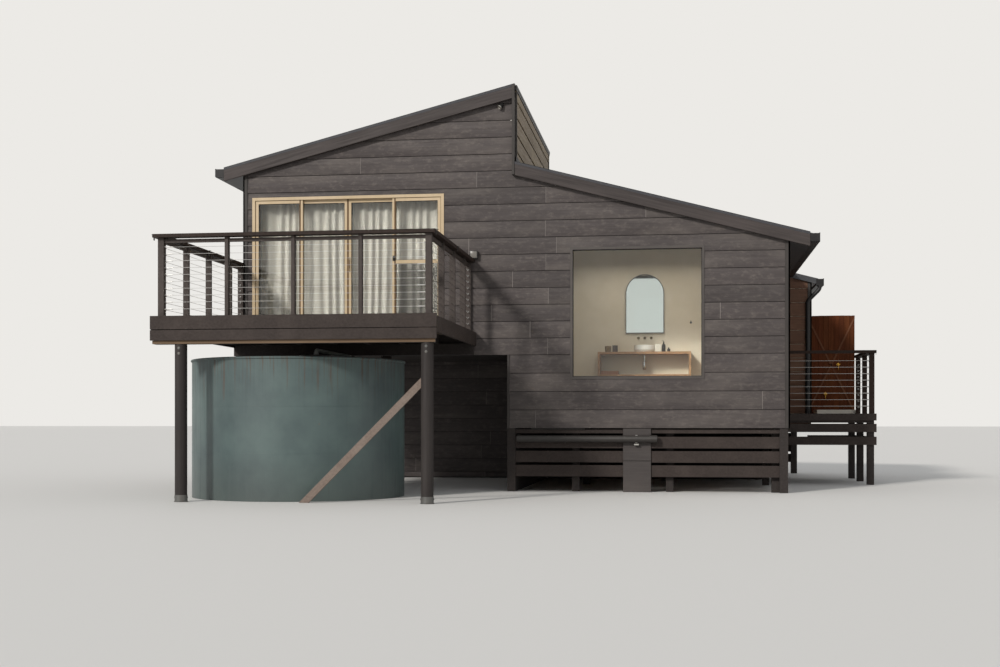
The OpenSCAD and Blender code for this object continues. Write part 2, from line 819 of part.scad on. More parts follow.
// Drilled posts, the last one plain against the wall, and the handrail from the front one to the wall
module balcony_rail_side(x, handrail_x) {
    half = rail_post / 2;
    slim = post_along / 2;
    color("#3a2d2b") {
        for (i = [1 : side_bays]) {
            y = side_post_y(i);
            difference() {
                block(x - half, x + half, y - slim, y + slim, upper_floor_z, rail_top - rail_t);
                if (i < side_bays) wire_holes_y(x, y, wire_z0, wire_count, wire_pitch);
            }
            block(x - subrail_t / 2, x + subrail_t / 2, side_post_y(i - 1) + (i == 1 ? half : slim), y - slim,
                subrail_top(rail_top) - subrail_h, subrail_top(rail_top));
        }
        block(handrail_x - rail_w / 2, handrail_x + rail_w / 2, rail_y0 - rail_out + rail_w / 2, y_front,
            rail_top - rail_t, rail_top);
    }
}
module balcony_rail_sides() {
    balcony_rail_side(rail_x0, rail_x0 - rail_out);
    balcony_rail_side(rail_x1, rail_x1 + rail_out);
}

// One tight wire along X or Y from post face to post face, with a flange and a swaged sleeve at each end
flange_d = 24;
flange_t = 4;
module wire_between_x(x0, x1, y, z) {
    bar_x(x0, x1, y, z, wire_d, 8);
    bar_x(x0, x0 + flange_t, y, z, flange_d);
    bar_x(x1 - flange_t, x1, y, z, flange_d);
    bar_x(x0, x0 + fitting_l, y, z, fitting_d, 13);
    bar_x(x1 - fitting_l, x1, y, z, fitting_d, 13);
}
module wire_between_y(x, y0, y1, z) {
    bar_y(x, y0, y1, z, wire_d, 8);
    bar_y(x, y0, y0 + flange_t, z, flange_d);
    bar_y(x, y1 - flange_t, y1, z, flange_d);
    bar_y(x, y0, y0 + fitting_l, z, fitting_d, 13);
    bar_y(x, y1 - fitting_l, y1, z, fitting_d, 13);
}

module balcony_wires() {
    half = rail_post / 2;
    color("#a8a6a2") for (k = [0 : wire_count - 1]) {
        z = wire_z0 + k * wire_pitch;
        wire_between_x(rail_x0 + half, rail_x1 - half, rail_y0, z);
        for (x = [rail_x0, rail_x1]) wire_between_y(x, rail_y0 + half, wall_post_y - post_along / 2, z);
    }
}

module tank_shell() {
    r = tank_d / 2;
    color("#6f8480") translate([tank_x, tank_y, 0]) rotate_extrude($fn = 72) polygon([
        [0, 0], [r, 0], [r, tank_h], [r - tank_t, tank_h], [r - tank_t, tank_floor_t], [0, tank_floor_t]
    ]);
}

// The roof rises to its middle, and its rim is rolled into a bead
tank_roof_t = 8;
tank_rim_w = 20;
module tank_roof() {
    r = tank_d / 2;
    bead_r = bead_d / 2;
    bead = [for (a = [90 : -22.5 : -90]) [r + bead_r * cos(a), bead_r + bead_r * sin(a)]];
    color("#6a7a76") translate([tank_x, tank_y, tank_h]) rotate_extrude($fn = 72) polygon(concat(
        [[0, tank_rise], [0, tank_rise + tank_roof_t], [r - tank_rim_w, bead_d]], bead, [[r - tank_rim_w, 0]]));
}

// Places of the stumps and posts across the house, from the line of the roof step
house_stump_x = [960, 2360];
under_post_x = [-2490, -1920];
wing_stump_x = [0, 1600, 3200];

// Square stumps under the house, each down to the lowest ground
module stumps() {
    half = stump_w / 2;
    under = lower_floor_z - floor_t;
    row_y = [in_front + half, (in_front + in_back) / 2, in_back - half];
    side_x = deck_x1 - fascia_t - stump_w;
    side_y = [side_deck_y + fascia_t, side_deck_y + side_deck_d / 2, deck_y1 - fascia_t - stump_w];
    inner_x = x_right + 60;
    color("#45403e") {
        block(in_right, x_right, y_front, in_front, 0, skirt_z);
        block(-half_t, half_t, y_front, in_front, 0, skirt_z);
        for (x = concat(house_stump_x, [in_right - half])) for (y = row_y)
            block(x - half, x + half, y - half, y + half, 0, under);
        for (x = concat([in_left + half], under_post_x))
            block(x - half, x + half, -half, half, 0, upper_wall_z);
        for (x = [in_left + half, under_post_x[0]])
            block(x - half, x + half, row_y[1] - half, row_y[1] + half, 0, upper_floor_z - floor_t);
        for (x = concat(wing_stump_x, [wing_x1 - wall_t]))
            block(x, x + wall_t, wing_y1 - wall_t, wing_y1, 0, skirt_z);
        for (y = side_y) block(side_x, side_x + stump_w, y, y + stump_w, 0, side_joist_z);
        block(inner_x, inner_x + stump_w, side_y[0], side_y[0] + stump_w, 0, side_joist_z);
    }
}

module pier_panel() {
    color("#4f4d50") block(pier_x, pier_x + pier_w, y_front, in_front, 0, skirt_z);
}

// Level slats between the stumps, under the wall's bottom edge, with a narrow board on top
slat_top = skirt_z - 130;
slat_in = 29;
narrow_slat = [skirt_z - 78, skirt_z - 20];
function slat_levels() = concat([narrow_slat],
    [for (k = [0 : slat_count - 1]) [slat_top - slat_h - k * slat_pitch, slat_top - k * slat_pitch]]);
module slat_row_x(x0, x1, y) {
    for (z = slat_levels()) block(x0, x1, y, y + slat_t, z[0], z[1]);
}
module slat_row_y(y0, y1, x) {
    for (z = slat_levels()) block(x, x + slat_t, y0, y1, z[0], z[1]);
}

module skirt_slats() {
    front_y = y_front + slat_in;
    wing_y = wing_y1 - slat_in - slat_t;
    color("#3e3b3d") {
        slat_row_x(half_t, pier_x, front_y);
        slat_row_x(pier_x + pier_w, in_right, front_y);
        slat_row_y(in_front, in_back, x_right - slat_in - slat_t);
        slat_row_x(wing_stump_x[0] + wall_t, wing_stump_x[1], wing_y);
        slat_row_x(wing_stump_x[1] + wall_t, wing_stump_x[2], wing_y);
        slat_row_x(wing_stump_x[2] + wall_t, wing_x1 - wall_t, wing_y);
    }
}

// Waste pipe on saddles, with a push-on end, and the conduit under the wall's edge
pipe_gap = 12;
pipe_x = [94, 2170];
socket_l = 78;
saddle_w = 40;
saddle_x = [140, 900];
clip_x = pier_x + 196;
conduit_x = [300, 1100];
module waste_pipe() {
    y = y_front - waste_d / 2 - pipe_gap;
    slat_face = y_front + slat_in;
    saddle_h = waste_d / 4;
    color("#3a3a3d") {
        bar_x(pipe_x[0], pipe_x[1], y, waste_z, waste_d, 32);
        bar_x(pipe_x[1] - socket_l, pipe_x[1] + 8, y, waste_z, waste_d + 12, 32);
        block(clip_x, clip_x + saddle_w, y, y_front, waste_z - saddle_h, waste_z + saddle_h);
        for (x = saddle_x) block(x, x + saddle_w, y, slat_face, waste_z - saddle_h, waste_z + saddle_h);
        bar_x(conduit_x[0], conduit_x[1], slat_face - conduit_d / 2 - 2, skirt_z - conduit_d / 2, conduit_d, 16);
    }
}

// A spot lamp under the high roof's corner, and a square wall light beside the balcony
spot_at = [-190, 5740];
spot_size = [80, 90, 90];
light_at = [-620, 3495];
light_size = [120, 90, 120];
module outside_lamp(at, size) {
    block(at[0], at[0] + size[0], y_front - size[1], y_front, at[1], at[1] + size[2]);
}
module outside_lamps() {
    color("#2c2b2b") {
        outside_lamp(spot_at, spot_size);
        outside_lamp(light_at, light_size);
    }
}

// L-shaped side deck round the corner of the rear wing
module deck_outline(inset) {
    polygon([
        [x_right, side_deck_y + inset], [deck_x1 - inset, side_deck_y + inset],
        [deck_x1 - inset, deck_y1 - inset], [wing_x1, deck_y1 - inset],
        [wing_x1, y_back], [x_right, y_back]
    ]);
}

module side_deck() {
    color("#6a5a4c") translate([0, 0, side_deck_z - deck_t]) linear_extrude(height = deck_t)
        deck_outline(fascia_t);
}

// Joists under the deck, and boards round its edge with open gaps between them
module side_deck_frame() {
    z1 = side_deck_z;
    z2 = z1 - side_fascia_h - side_board_gap;
    z3 = z2 - side_board_h - side_lower_gap;
    color("#4a4749") {
        for (level = [[z1, side_fascia_h], [z2, side_board_h], [z3, side_board_h]]) {
            z = level[0];
            h = level[1];
            block(x_right, deck_x1, side_deck_y, side_deck_y + fascia_t, z - h, z);
            block(deck_x1 - fascia_t, deck_x1, side_deck_y + fascia_t, deck_y1 - fascia_t, z - h, z);
            block(wing_x1, deck_x1, deck_y1 - fascia_t, deck_y1, z - h, z);
        }
        for (y = [side_deck_y + fascia_t : side_joist_pitch : deck_y1 - fascia_t - joist_w])
            block(y < y_back + wall_t ? x_right : wing_x1, deck_x1 - fascia_t, y, y + joist_w,
                side_joist_z, side_deck_z - deck_t);
    }
}

module side_rail_front() {
    half = rail_post / 2;
    color("#33302f") {
        for (x = [x_right + half, side_rail_x])
            block(x - half, x + half, side_rail_y - half, side_rail_y + half, side_deck_z, side_rail_top - rail_t);
        block(x_right, side_rail_x + rail_w / 2, side_rail_y - rail_w / 2, side_rail_y + rail_w / 2,
            side_rail_top - rail_t, side_rail_top);
    }
}

module side_rail_right() {
    half = rail_post / 2;
    slim = post_along / 2;
    step = (side_rail_end - side_rail_y) / side_deck_bays;
    color("#33302f") {
        for (i = [1 : side_deck_bays]) difference() {
            y = side_rail_y + i * step;
            block(side_rail_x - half, side_rail_x + half, y - slim, y + slim, side_deck_z, side_rail_top - rail_t);
            if (i < side_deck_bays)
                wire_holes_y(side_rail_x, y, side_wire_z0, side_wire_count, side_wire_pitch);
        }
        block(side_rail_x - rail_w / 2, side_rail_x + rail_w / 2, side_rail_y + rail_w / 2, side_rail_end + slim,
            side_rail_top - rail_t, side_rail_top);
    }
}

module side_deck_wires() {
    half = rail_post / 2;
    color("#a8a6a2") for (k = [0 : side_wire_count - 1]) {
        z = side_wire_z0 + k * side_wire_pitch;
        wire_between_x(x_right + rail_post, side_rail_x - half, side_rail_y, z);
        wire_between_y(side_rail_x, side_rail_y + half, side_rail_end - post_along / 2, z);
    }
}

// A fixed panel with uprights and rails behind it, and a crossed brace on its face
brace_strip = [24, 8];
screen_rail_up = 150;
module screen() {
    x0 = wing_x1 + 5;
    x1 = deck_x1 - 30;
    z0 = side_deck_z;
    z1 = z0 + screen_h;
    y1 = screen_y + screen_t;
    w = screen_frame;
    back = screen_in - screen_t;
    color("#6a3a22") {
        block(x0, x1, screen_y, y1, z0, z1);
        for (x = [x0, x1 - w]) block(x, x + w, y1, y1 + back, z0, z1);
        for (z = [z0 + screen_rail_up, z1 - screen_rail_up - w]) block(x0 + w, x1 - w, y1, y1 + back, z, z + w);
        for (ends = [[z0, z1], [z1, z0]]) brace_across(x0, x1, ends[0], ends[1]);
    }
}

// A flat strip on the screen's face between two corners of the panel
module brace_across(x0, x1, z0, z1) {
    up = z1 > z0 ? 1 : -1;
    w = brace_strip[0] * up;
    xz_plate([[x0, z0], [x0 + brace_strip[0], z0], [x1, z1 - w], [x1, z1],
        [x1 - brace_strip[0], z1], [x0, z0 + w]], screen_y - brace_strip[1], screen_y);
}

tray_wall = 40;
tray_floor = 30;
tray_h = 80;
module shower_tray() {
    w = tray_wall;
    color("#cfc8bb") difference() {
        block(tray_x0, tray_x1, tray_y0, tray_y1, side_deck_z, side_deck_z + tray_h);
        block(tray_x0 + w, tray_x1 - w, tray_y0 + w, tray_y1 - w,
            side_deck_z + tray_floor, side_deck_z + tray_h + cut_past);
    }
}

// Two taps on the screen: distance from the deck's edge, height over the deck, diameter and reach
tap_list = [[330, 920, 40, 70], [560, 380, 34, 60]];
module shower_taps() {
    color("#c09a3e") for (t = tap_list)
        bar_y(deck_x1 - t[0], screen_y - t[3], screen_y, side_deck_z + t[1], t[2], 24);
}

// The wing's walls: the right, back and left sides, and the short return beside the main house
return_gap = 5;
module wing_walls() {
    right_outline = [
        [wing_x1 - wall_t, skirt_z], [wing_x1, skirt_z],
        [wing_x1, wing_under(wing_x1)], [wing_x1 - wall_t, wing_under(wing_x1 - wall_t)]
    ];
    back_outline = [
        [-half_t, skirt_z], [wing_x1, skirt_z], [wing_x1, wing_under(wing_x1)], [-half_t, wing_under(-half_t)]
    ];
    left_outline = [
        [-half_t, skirt_z], [half_t, skirt_z], [half_t, wing_under(half_t)], [-half_t, wing_under(-half_t)]
    ];
    return_outline = [
        [x_right, skirt_z], [wing_x1, skirt_z], [wing_x1, wing_under(wing_x1)],
        [eave_right, wing_under(eave_right)], [eave_right, low_top(eave_right) - barge_h - return_gap],
        [x_right, low_top(x_right) - barge_h - return_gap]
    ];
    color("#5a3a28") {
        xz_plate(right_outline, y_back, wing_y1 - wall_t);
        xz_plate(left_outline, y_back, wing_y1 - wall_t);
        xz_plate(return_outline, y_back, y_back + wall_t);
        difference() {
            xz_plate(back_outline, wing_y1 - wall_t, wing_y1);
            block(wing_door_x, wing_door_x + small_door_w, wing_y1 - wall_t - cut_past, wing_y1 + cut_past,
                lower_floor_z, lower_floor_z + door_h);
            block(wing_window_x, wing_window_x + plain_window_w, wing_y1 - wall_t - cut_past,
                wing_y1 + cut_past, wing_window_z, wing_window_z + plain_window_h);
        }
    }
}

// The wing's roof goes on in the plane of the low roof, and laps forward past its eave
lap_gap = 10;
function wing_outline(x0) = [
    [x0, wing_under(x0)], [wing_eave, wing_under(wing_eave)],
    [wing_eave, low_top(wing_eave) - sheet_drop], [x0, low_top(x0) - sheet_drop]
];
module wing_roof() {
    color("#3f3f42") {
        xz_plate(wing_outline(-half_t), wing_y0, wing_y1 + gable_out);
        xz_plate(wing_outline(eave_right + gutter_w + lap_gap), lap_y0, wing_y0);
    }
}

front_wall();
left_wall();
right_wall();
back_wall();
undercroft_wall();
clerestory_wall();
high_roof();
low_roof();
barge_boards();
gutters();
downpipes();
upper_floor();
lower_floor();
bathroom_wall();
sliding_door_frame();
sliding_door_sashes();
sliding_door_glass();
curtains();
picture_window_frame();
picture_window_glass();
plain_window_frames();
plain_window_glass();
vanity();
basin();
wall_taps();
mirror();
balcony_frame();
balcony_deck();
balcony_fascia();
balcony_posts();
brace();
balcony_rail_front();
balcony_rail_sides();
balcony_wires();
tank_shell();
tank_roof();
stumps();
pier_panel();
skirt_slats();
waste_pipe();
outside_lamps();
side_deck_frame();
side_deck();
side_rail_front();
side_rail_right();
side_deck_wires();
screen();
shower_tray();
shower_taps();
wing_walls();
wing_roof();
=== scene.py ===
"""Looks of a dark boarded beach house with a balcony and a water tank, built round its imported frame.

All sizes are in metres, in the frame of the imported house: X runs along the front, Y to the back and Z up.
"""

import math
import random

import bmesh
import bpy
from mathutils import Matrix, Vector


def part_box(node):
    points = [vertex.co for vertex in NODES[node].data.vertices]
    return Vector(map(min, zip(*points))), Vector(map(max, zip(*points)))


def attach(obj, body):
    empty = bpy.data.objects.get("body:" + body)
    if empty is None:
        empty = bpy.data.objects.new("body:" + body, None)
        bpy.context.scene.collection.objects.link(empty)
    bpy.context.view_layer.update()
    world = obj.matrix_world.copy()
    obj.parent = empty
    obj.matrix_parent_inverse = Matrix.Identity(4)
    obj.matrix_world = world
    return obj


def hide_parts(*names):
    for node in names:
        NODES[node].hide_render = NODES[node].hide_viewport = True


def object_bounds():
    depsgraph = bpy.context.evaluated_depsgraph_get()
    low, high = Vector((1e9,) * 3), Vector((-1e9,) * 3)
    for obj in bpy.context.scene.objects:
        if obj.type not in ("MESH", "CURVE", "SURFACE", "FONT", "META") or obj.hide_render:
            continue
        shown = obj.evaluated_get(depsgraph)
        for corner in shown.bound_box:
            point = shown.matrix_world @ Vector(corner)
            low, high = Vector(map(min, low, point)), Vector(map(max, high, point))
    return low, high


bl_info = {
    "name": "Beach House Looks",
    "version": (1, 0, 0),
    "blender": (4, 5, 0),
    "location": "View3D > Sidebar > Beach House",
    "description": "Weatherboards, roof sheets, decking, curtains and finishes round the packed house",
    "category": "Object",
}

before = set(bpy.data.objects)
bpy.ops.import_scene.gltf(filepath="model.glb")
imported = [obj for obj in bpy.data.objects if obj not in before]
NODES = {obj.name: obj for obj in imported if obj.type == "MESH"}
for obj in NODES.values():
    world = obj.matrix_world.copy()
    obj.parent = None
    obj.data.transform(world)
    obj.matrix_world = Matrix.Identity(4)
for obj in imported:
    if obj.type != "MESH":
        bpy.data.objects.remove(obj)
CAD_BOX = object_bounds()
X, Y, Z = Vector((1, 0, 0)), Vector((0, 1, 0)), Vector((0, 0, 1))

# Planes and edges of the house, read from the frame
FRONT_LOW, FRONT_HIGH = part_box("front_wall")
BACK_LOW, BACK_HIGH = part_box("back_wall")
UNDER_LOW, UNDER_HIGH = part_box("undercroft_wall")
WING_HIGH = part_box("wing_walls")[1]
HIGH_ROOF_LOW, HIGH_ROOF_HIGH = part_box("high_roof")
LOW_ROOF_LOW, LOW_ROOF_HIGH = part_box("low_roof")
DOOR_LOW, DOOR_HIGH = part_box("sliding_door_frame")
WINDOW_LOW, WINDOW_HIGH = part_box("picture_window_frame")
BALCONY_LOW, BALCONY_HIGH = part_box("balcony_fascia")
LEFT, RIGHT, FRONT, BACK = FRONT_LOW.x, FRONT_HIGH.x, FRONT_LOW.y, BACK_HIGH.y
HALF = UNDER_HIGH.x  # half of a wall's thickness, as the undercroft's wall stands on X 0
STEP_X = HIGH_ROOF_HIGH.x  # where the high roof ends over the low one
UPPER_Z = min(v.co.z for v in NODES["left_wall"].data.vertices)  # foot of the upper storey's boards
SKIRT_Z = FRONT_LOW.z  # foot of the boards on the right half


def settings():
    """The sizes and colours that the panel shows."""
    return bpy.context.scene.beach_house


# Selecting and shaping

def lone(obj=None):
    """Leaves object mode with only obj selected and active, or nothing selected."""
    if bpy.context.mode != "OBJECT":
        bpy.ops.object.mode_set(mode="OBJECT")
    bpy.ops.object.select_all(action="DESELECT")
    if obj:
        obj.select_set(True)
        bpy.context.view_layer.objects.active = obj


def pick(obj, kind="VERT", test=lambda item: True):
    """Goes into edit mode on obj with only the verts, edges or faces that pass the test selected."""
    lone(obj)
    bpy.ops.object.mode_set(mode="EDIT")
    bpy.ops.mesh.select_mode(type=kind)
    bpy.ops.mesh.select_all(action="DESELECT")
    shape = bmesh.from_edit_mesh(obj.data)
    for item in {"VERT": shape.verts, "EDGE": shape.edges, "FACE": shape.faces}[kind]:
        item.select = bool(test(item))
    shape.select_flush_mode()
    bmesh.update_edit_mesh(obj.data)


def made(name):
    """Names the newest primitive and puts its place, turn and size into its mesh."""
    obj = bpy.context.object
    obj.name = name
    lone(obj)
    bpy.ops.object.transform_apply(location=True, rotation=True, scale=True)
    return obj


def linked(name, data):
    """A new object in the scene for a mesh or a curve."""
    obj = bpy.data.objects.new(name, data)
    bpy.context.scene.collection.objects.link(obj)
    return obj


def block(name, a, b):
    """A box between two opposite corners."""
    low, high = Vector(map(min, a, b)), Vector(map(max, a, b))
    lone()
    bpy.ops.mesh.primitive_cube_add(size=1, location=(low + high) / 2, scale=high - low)
    return made(name)


def rod(name, start, end, radius, sides=16):
    """A round bar from one point to another."""
    start, end = Vector(start), Vector(end)
    turn = (end - start).to_track_quat("Z", "Y").to_euler()
    lone()
    bpy.ops.mesh.primitive_cylinder_add(
        vertices=sides, radius=radius, depth=(end - start).length, location=(start + end) / 2, rotation=turn)
    return made(name)


def ring(name, centre, axis, radius, thick, sides=24, section=8):
    """A round ring about an axis."""
    turn = Vector(axis).to_track_quat("Z", "Y").to_euler()
    lone()
    bpy.ops.mesh.primitive_torus_add(
        location=centre, rotation=turn, major_radius=radius, minor_radius=thick, major_segments=sides,
        minor_segments=section)
    return made(name)


def bevel(obj, width, segments=1, test=lambda edge: True):
    """Rounds the edges that pass the test."""
    pick(obj, "EDGE", test)
    bpy.ops.mesh.bevel(offset=width, segments=segments, affect="EDGES")
    lone()
    return obj


def upright(edge):
    """True for the long upright edges of a board or trim."""
    return abs((edge.verts[0].co - edge.verts[1].co).z) > 0.2


def disc(name, centre, axis, radius, thick, sides=24, edge=0.0):
    """A short round boss that stands on centre and grows along axis."""
    centre, axis = Vector(centre), Vector(axis).normalized()
    boss = rod(name, centre, centre + axis * thick, radius, sides)
    if edge:
        bevel(boss, edge, 2, lambda e: all((v.co - centre).dot(axis) > thick * 0.9 for v in e.verts))
    return boss


def cut_off(obj, point, normal):
    """Cuts a closed shape by a plane and removes the side that the normal points to."""
    pick(obj)
    bpy.ops.mesh.bisect(plane_co=point, plane_no=normal, use_fill=True, clear_outer=True)
    lone()
    return obj


def apply_modifiers(obj):
    """Applies every modifier in turn."""
    lone(obj)
    for modifier in list(obj.modifiers):
        bpy.ops.object.modifier_apply(modifier=modifier.name)
    return obj


def thickened(obj, thick, offset):
    """Gives an open sheet its thickness."""
    shell = obj.modifiers.new("thick", "SOLIDIFY")
    shell.thickness, shell.offset = thick, offset
    return apply_modifiers(obj)


def remove(*objs):
    """Deletes helper objects with their meshes."""
    for obj in objs:
        mesh = obj.data
        bpy.data.objects.remove(obj)
        bpy.data.meshes.remove(mesh)


def placed_copy(obj, matrix):
    """A copy of obj with a mesh of its own, put in place by a matrix."""
    copy = linked(obj.name, obj.data.copy())
    copy.data.transform(matrix)
    if matrix.determinant() < 0:
        copy.data.flip_normals()
    return copy


def laid(board, place, along, back, length):
    """A copy of a board that is 1 m long on X, laid from place along a direction, its Y turned to back."""
    return placed_copy(board, Matrix([*zip(along * length, back, Z, place), (0, 0, 0, 1)]))


def join(name, parts):
    """Joins parts into one object."""
    lone(parts[0])
    for part in parts:
        part.select_set(True)
    if len(parts) > 1:
        bpy.ops.object.join()
    parts[0].name = name
    parts[0].data.name = name
    return parts[0]


def moved(obj, change):
    """Puts every corner of obj where a function of its place says."""
    for vertex in obj.data.vertices:
        vertex.co = change(vertex.co.copy())
    return obj


def outward(obj):
    """Turns every face of a closed shape to the outside."""
    pick(obj)
    bpy.ops.mesh.remove_doubles(threshold=1e-5)
    bpy.ops.mesh.normals_make_consistent(inside=False)
    lone()
    return obj


def pipe_run(name, points, radius, bend, sides=20):
    """A round pipe along straight runs with round bends at the points between."""
    points = [Vector(p) for p in points]
    lone()
    data = bpy.data.curves.new(name, "CURVE")
    data.dimensions = "3D"
    data.bevel_depth = radius
    data.bevel_resolution = sides // 4 - 1
    data.use_fill_caps = True
    path = [points[0]]
    for before, corner, after in zip(points, points[1:], points[2:]):
        into, out = (corner - before).normalized(), (after - corner).normalized()
        start, end = corner - into * bend, corner + out * bend
        path += [start.lerp(corner, i / 8).lerp(corner.lerp(end, i / 8), i / 8) for i in range(9)]
    path.append(points[-1])
    spline = data.splines.new("POLY")
    spline.points.add(len(path) - 1)
    for point, place in zip(spline.points, path):
        point.co = place.to_4d()
    obj = linked(name, data)
    lone(obj)
    bpy.ops.object.convert(target="MESH")
    return obj


def turned(name, centre, profile, sides=24):
    """A round piece spun about an upright axis from (radius, height) points; both ends are on the axis."""
    centre = Vector(centre)
    mesh = bpy.data.meshes.new(name)
    points = [centre + X * radius + Z * height for radius, height in profile]
    mesh.from_pydata(points, [(i, i + 1) for i in range(len(points) - 1)], [])
    obj = linked(name, mesh)
    pick(obj)
    bpy.ops.mesh.spin(steps=sides, angle=2 * math.pi, center=centre, axis=Z)
    return outward(obj)


def corners(points):
    """Lowest and highest corners of some points."""
    return Vector(map(min, zip(*points))), Vector(map(max, zip(*points)))


def islands(node):
    """The corner points of each separate solid of a CAD node."""
    shape = bmesh.new()
    shape.from_mesh(NODES[node].data)
    bmesh.ops.remove_doubles(shape, verts=shape.verts, dist=1e-5)
    left_over = set(shape.verts)
    found = []
    for first in shape.verts:
        if first not in left_over:
            continue
        left_over.remove(first)
        todo = [first]
        group = []
        while todo:
            vertex = todo.pop()
            group.append(vertex.co.copy())
            for edge in vertex.link_edges:
                other = edge.other_vert(vertex)
                if other in left_over:
                    left_over.remove(other)
                    todo.append(other)
        found.append(group)
    shape.free()
    return found


def solids(node):
    """The (lowest, highest) corners of each separate solid of a CAD node."""
    return [corners(points) for points in islands(node)]


def finish_piece(name, parts, finish_name, slot, replaces=(), smooth=None, fit=False):
    """Joins parts to one piece, gives it its finish, and lets it ride on the house."""
    obj = join(name, parts)
    if fit:
        low, high = CAD_BOX
        moved(obj, lambda co: Vector(max(a, min(b, c)) for a, b, c in zip(low, high, co)))
    obj.data.materials.clear()
    obj.data.materials.append(finish(finish_name))
    if smooth is not None:
        lone(obj)
        bpy.ops.object.shade_smooth_by_angle(angle=math.radians(smooth))
    lone()
    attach(obj, "root")
    if replaces:
        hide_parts(*replaces)
    return obj


# Kinds of finish

def linear(colour):
    """A linear colour from an sRGB hex value, or from the panel's colour of that name."""
    if not colour.startswith("#"):
        return list(getattr(settings(), colour))
    parts = [int(colour[i:i + 2], 16) / 255 for i in (1, 3, 5)]
    return [c / 12.92 if c <= 0.04045 else ((c + 0.055) / 1.055) ** 2.4 for c in parts] + [1.0]


def feed(node, inputs):
    """Sets a node's inputs to values, or links them to other nodes' outputs."""
    for key, value in inputs.items():
        if isinstance(value, bpy.types.NodeSocket):
            node.id_data.links.new(value, node.inputs[key])
        else:
            node.inputs[key].default_value = value


def add(tree, kind, inputs=None, stops=(), out=None, **attributes):
    """Adds one node and gives its first live output or the named one; a stop is (place, grey or colour)."""
    node = tree.nodes.new("ShaderNode" + kind)
    if kind == "Mix":
        node.data_type = "RGBA"
    for key, value in attributes.items():
        setattr(node, key, value)
    feed(node, inputs or {})
    for i, (place, colour) in enumerate(stops):
        if i == len(node.color_ramp.elements):
            node.color_ramp.elements.new(0.5)
        node.color_ramp.elements[i].position = place
        node.color_ramp.elements[i].color = colour if isinstance(colour, list) else [colour] * 3 + [1]
    return node.outputs[out] if out else next(socket for socket in node.outputs if socket.enabled)


def new_material(name):
    """A material with an empty shader; one of that name is emptied, so that all its pieces change with it."""
    material = bpy.data.materials.get(name) or bpy.data.materials.new(name)
    material.use_nodes = True
    tree = material.node_tree
    tree.nodes.clear()
    shader = tree.nodes.new("ShaderNodeBsdfPrincipled")
    feed(tree.nodes.new("ShaderNodeOutputMaterial"), {"Surface": shader.outputs[0]})
    return material, tree, shader


def grain_place(tree, run):
    """Coordinates in metres with the timber's grain along their first axis.

    "board" reads the boards' own attribute; "z" is for upright pieces, "x" for pieces along X, and "level" for
    level ones that run along X or Y.
    """
    if run == "board":
        return add(tree, "Attribute", out="Vector", attribute_name="grain")
    x, y, z = add(tree, "SeparateXYZ", {0: add(tree, "TexCoord", out="Object")}).node.outputs
    total = add(tree, "Math", {0: x, 1: y}, operation="ADD")
    apart = add(tree, "Math", {0: x, 1: y}, operation="SUBTRACT")
    order = {"z": (z, x, y), "x": (x, y, z), "level": (total, z, apart)}[run]
    return add(tree, "CombineXYZ", dict(enumerate(order)))


def timber(name, base, dark, worn, run="board", rough=0.66, streak=0.5, patch=0.45, relief=0.0012, bloom=0.0,
           shine=0.5, tones=(0.87, 1.14)):
    """Timber, coated or bare: streaks with the grain, worn paler patches, raised fibre and chalky spots."""
    material, tree, shader = new_material(name)
    place = grain_place(tree, run)
    # Streaks of 30 mm by 0.8 m, worn patches of 0.3 m by 1.1 m and chalky spots of 60 mm are the real sizes.
    # Real fibre is under 1 mm and wouldn't show, so it is drawn as 4 mm.
    streaks, fibre, patches, *spots = (add(tree, "TexNoise", {
        "Vector": add(tree, "Mapping", {"Vector": place, "Scale": scale}), "Scale": 1.0, "Detail": detail,
        "Roughness": roughness, "Distortion": distortion})
        for scale, detail, roughness, distortion in (
            ((1.3, 34, 34), 5.0, 0.62, 0.35), ((9, 260, 260), 3.0, 0.6, 0.0),
            ((0.9, 3.2, 3.2), 4.0, 0.55, 0.0), ((9, 17, 17), 8.0, 0.72, 0.0))[:4 if bloom else 3])
    share = add(tree, "ValToRGB", {0: streaks}, [(0.34, 0), (0.62, 1)])
    body = add(tree, "Mix", {0: share, 6: linear(dark), 7: linear(base)})
    body = add(tree, "Mix", {0: streak, 6: linear(base), 7: body})
    layers = [(patches, 0.47, 0.74, patch)] + [(spot, 0.50, 0.70, bloom) for spot in spots]
    for pattern, start, full, most in layers:
        share = add(tree, "ValToRGB", {0: pattern}, [(start, 0), (full, most)])
        body = add(tree, "Mix", {0: share, 6: body, 7: linear(worn)})
    shades = [(fibre, 0.3, 0.7, 0.88, 1.1)]
    if run == "board":
        shades.append((add(tree, "Attribute", out="Fac", attribute_name="tone"), 0, 1, *tones))
    for pattern, low, high, darkest, palest in shades:
        share = add(tree, "MapRange", {
            0: pattern, "From Min": low, "From Max": high, "To Min": darkest, "To Max": palest})
        body = add(tree, "Mix", {0: 1.0, 6: body, 7: share}, blend_type="MULTIPLY")
    gloss = add(tree, "MapRange", {
        0: streaks, "From Min": 0.3, "From Max": 0.7, "To Min": rough + 0.1, "To Max": rough - 0.08})
    height = add(tree, "Math", {0: streaks, 1: 0.55, 2: fibre}, operation="MULTIPLY_ADD")
    bump = add(tree, "Bump", {"Height": height, "Strength": 0.6, "Distance": relief})
    feed(shader, {"Base Color": body, "Roughness": gloss, "Specular IOR Level": shine, "Normal": bump})
    return material


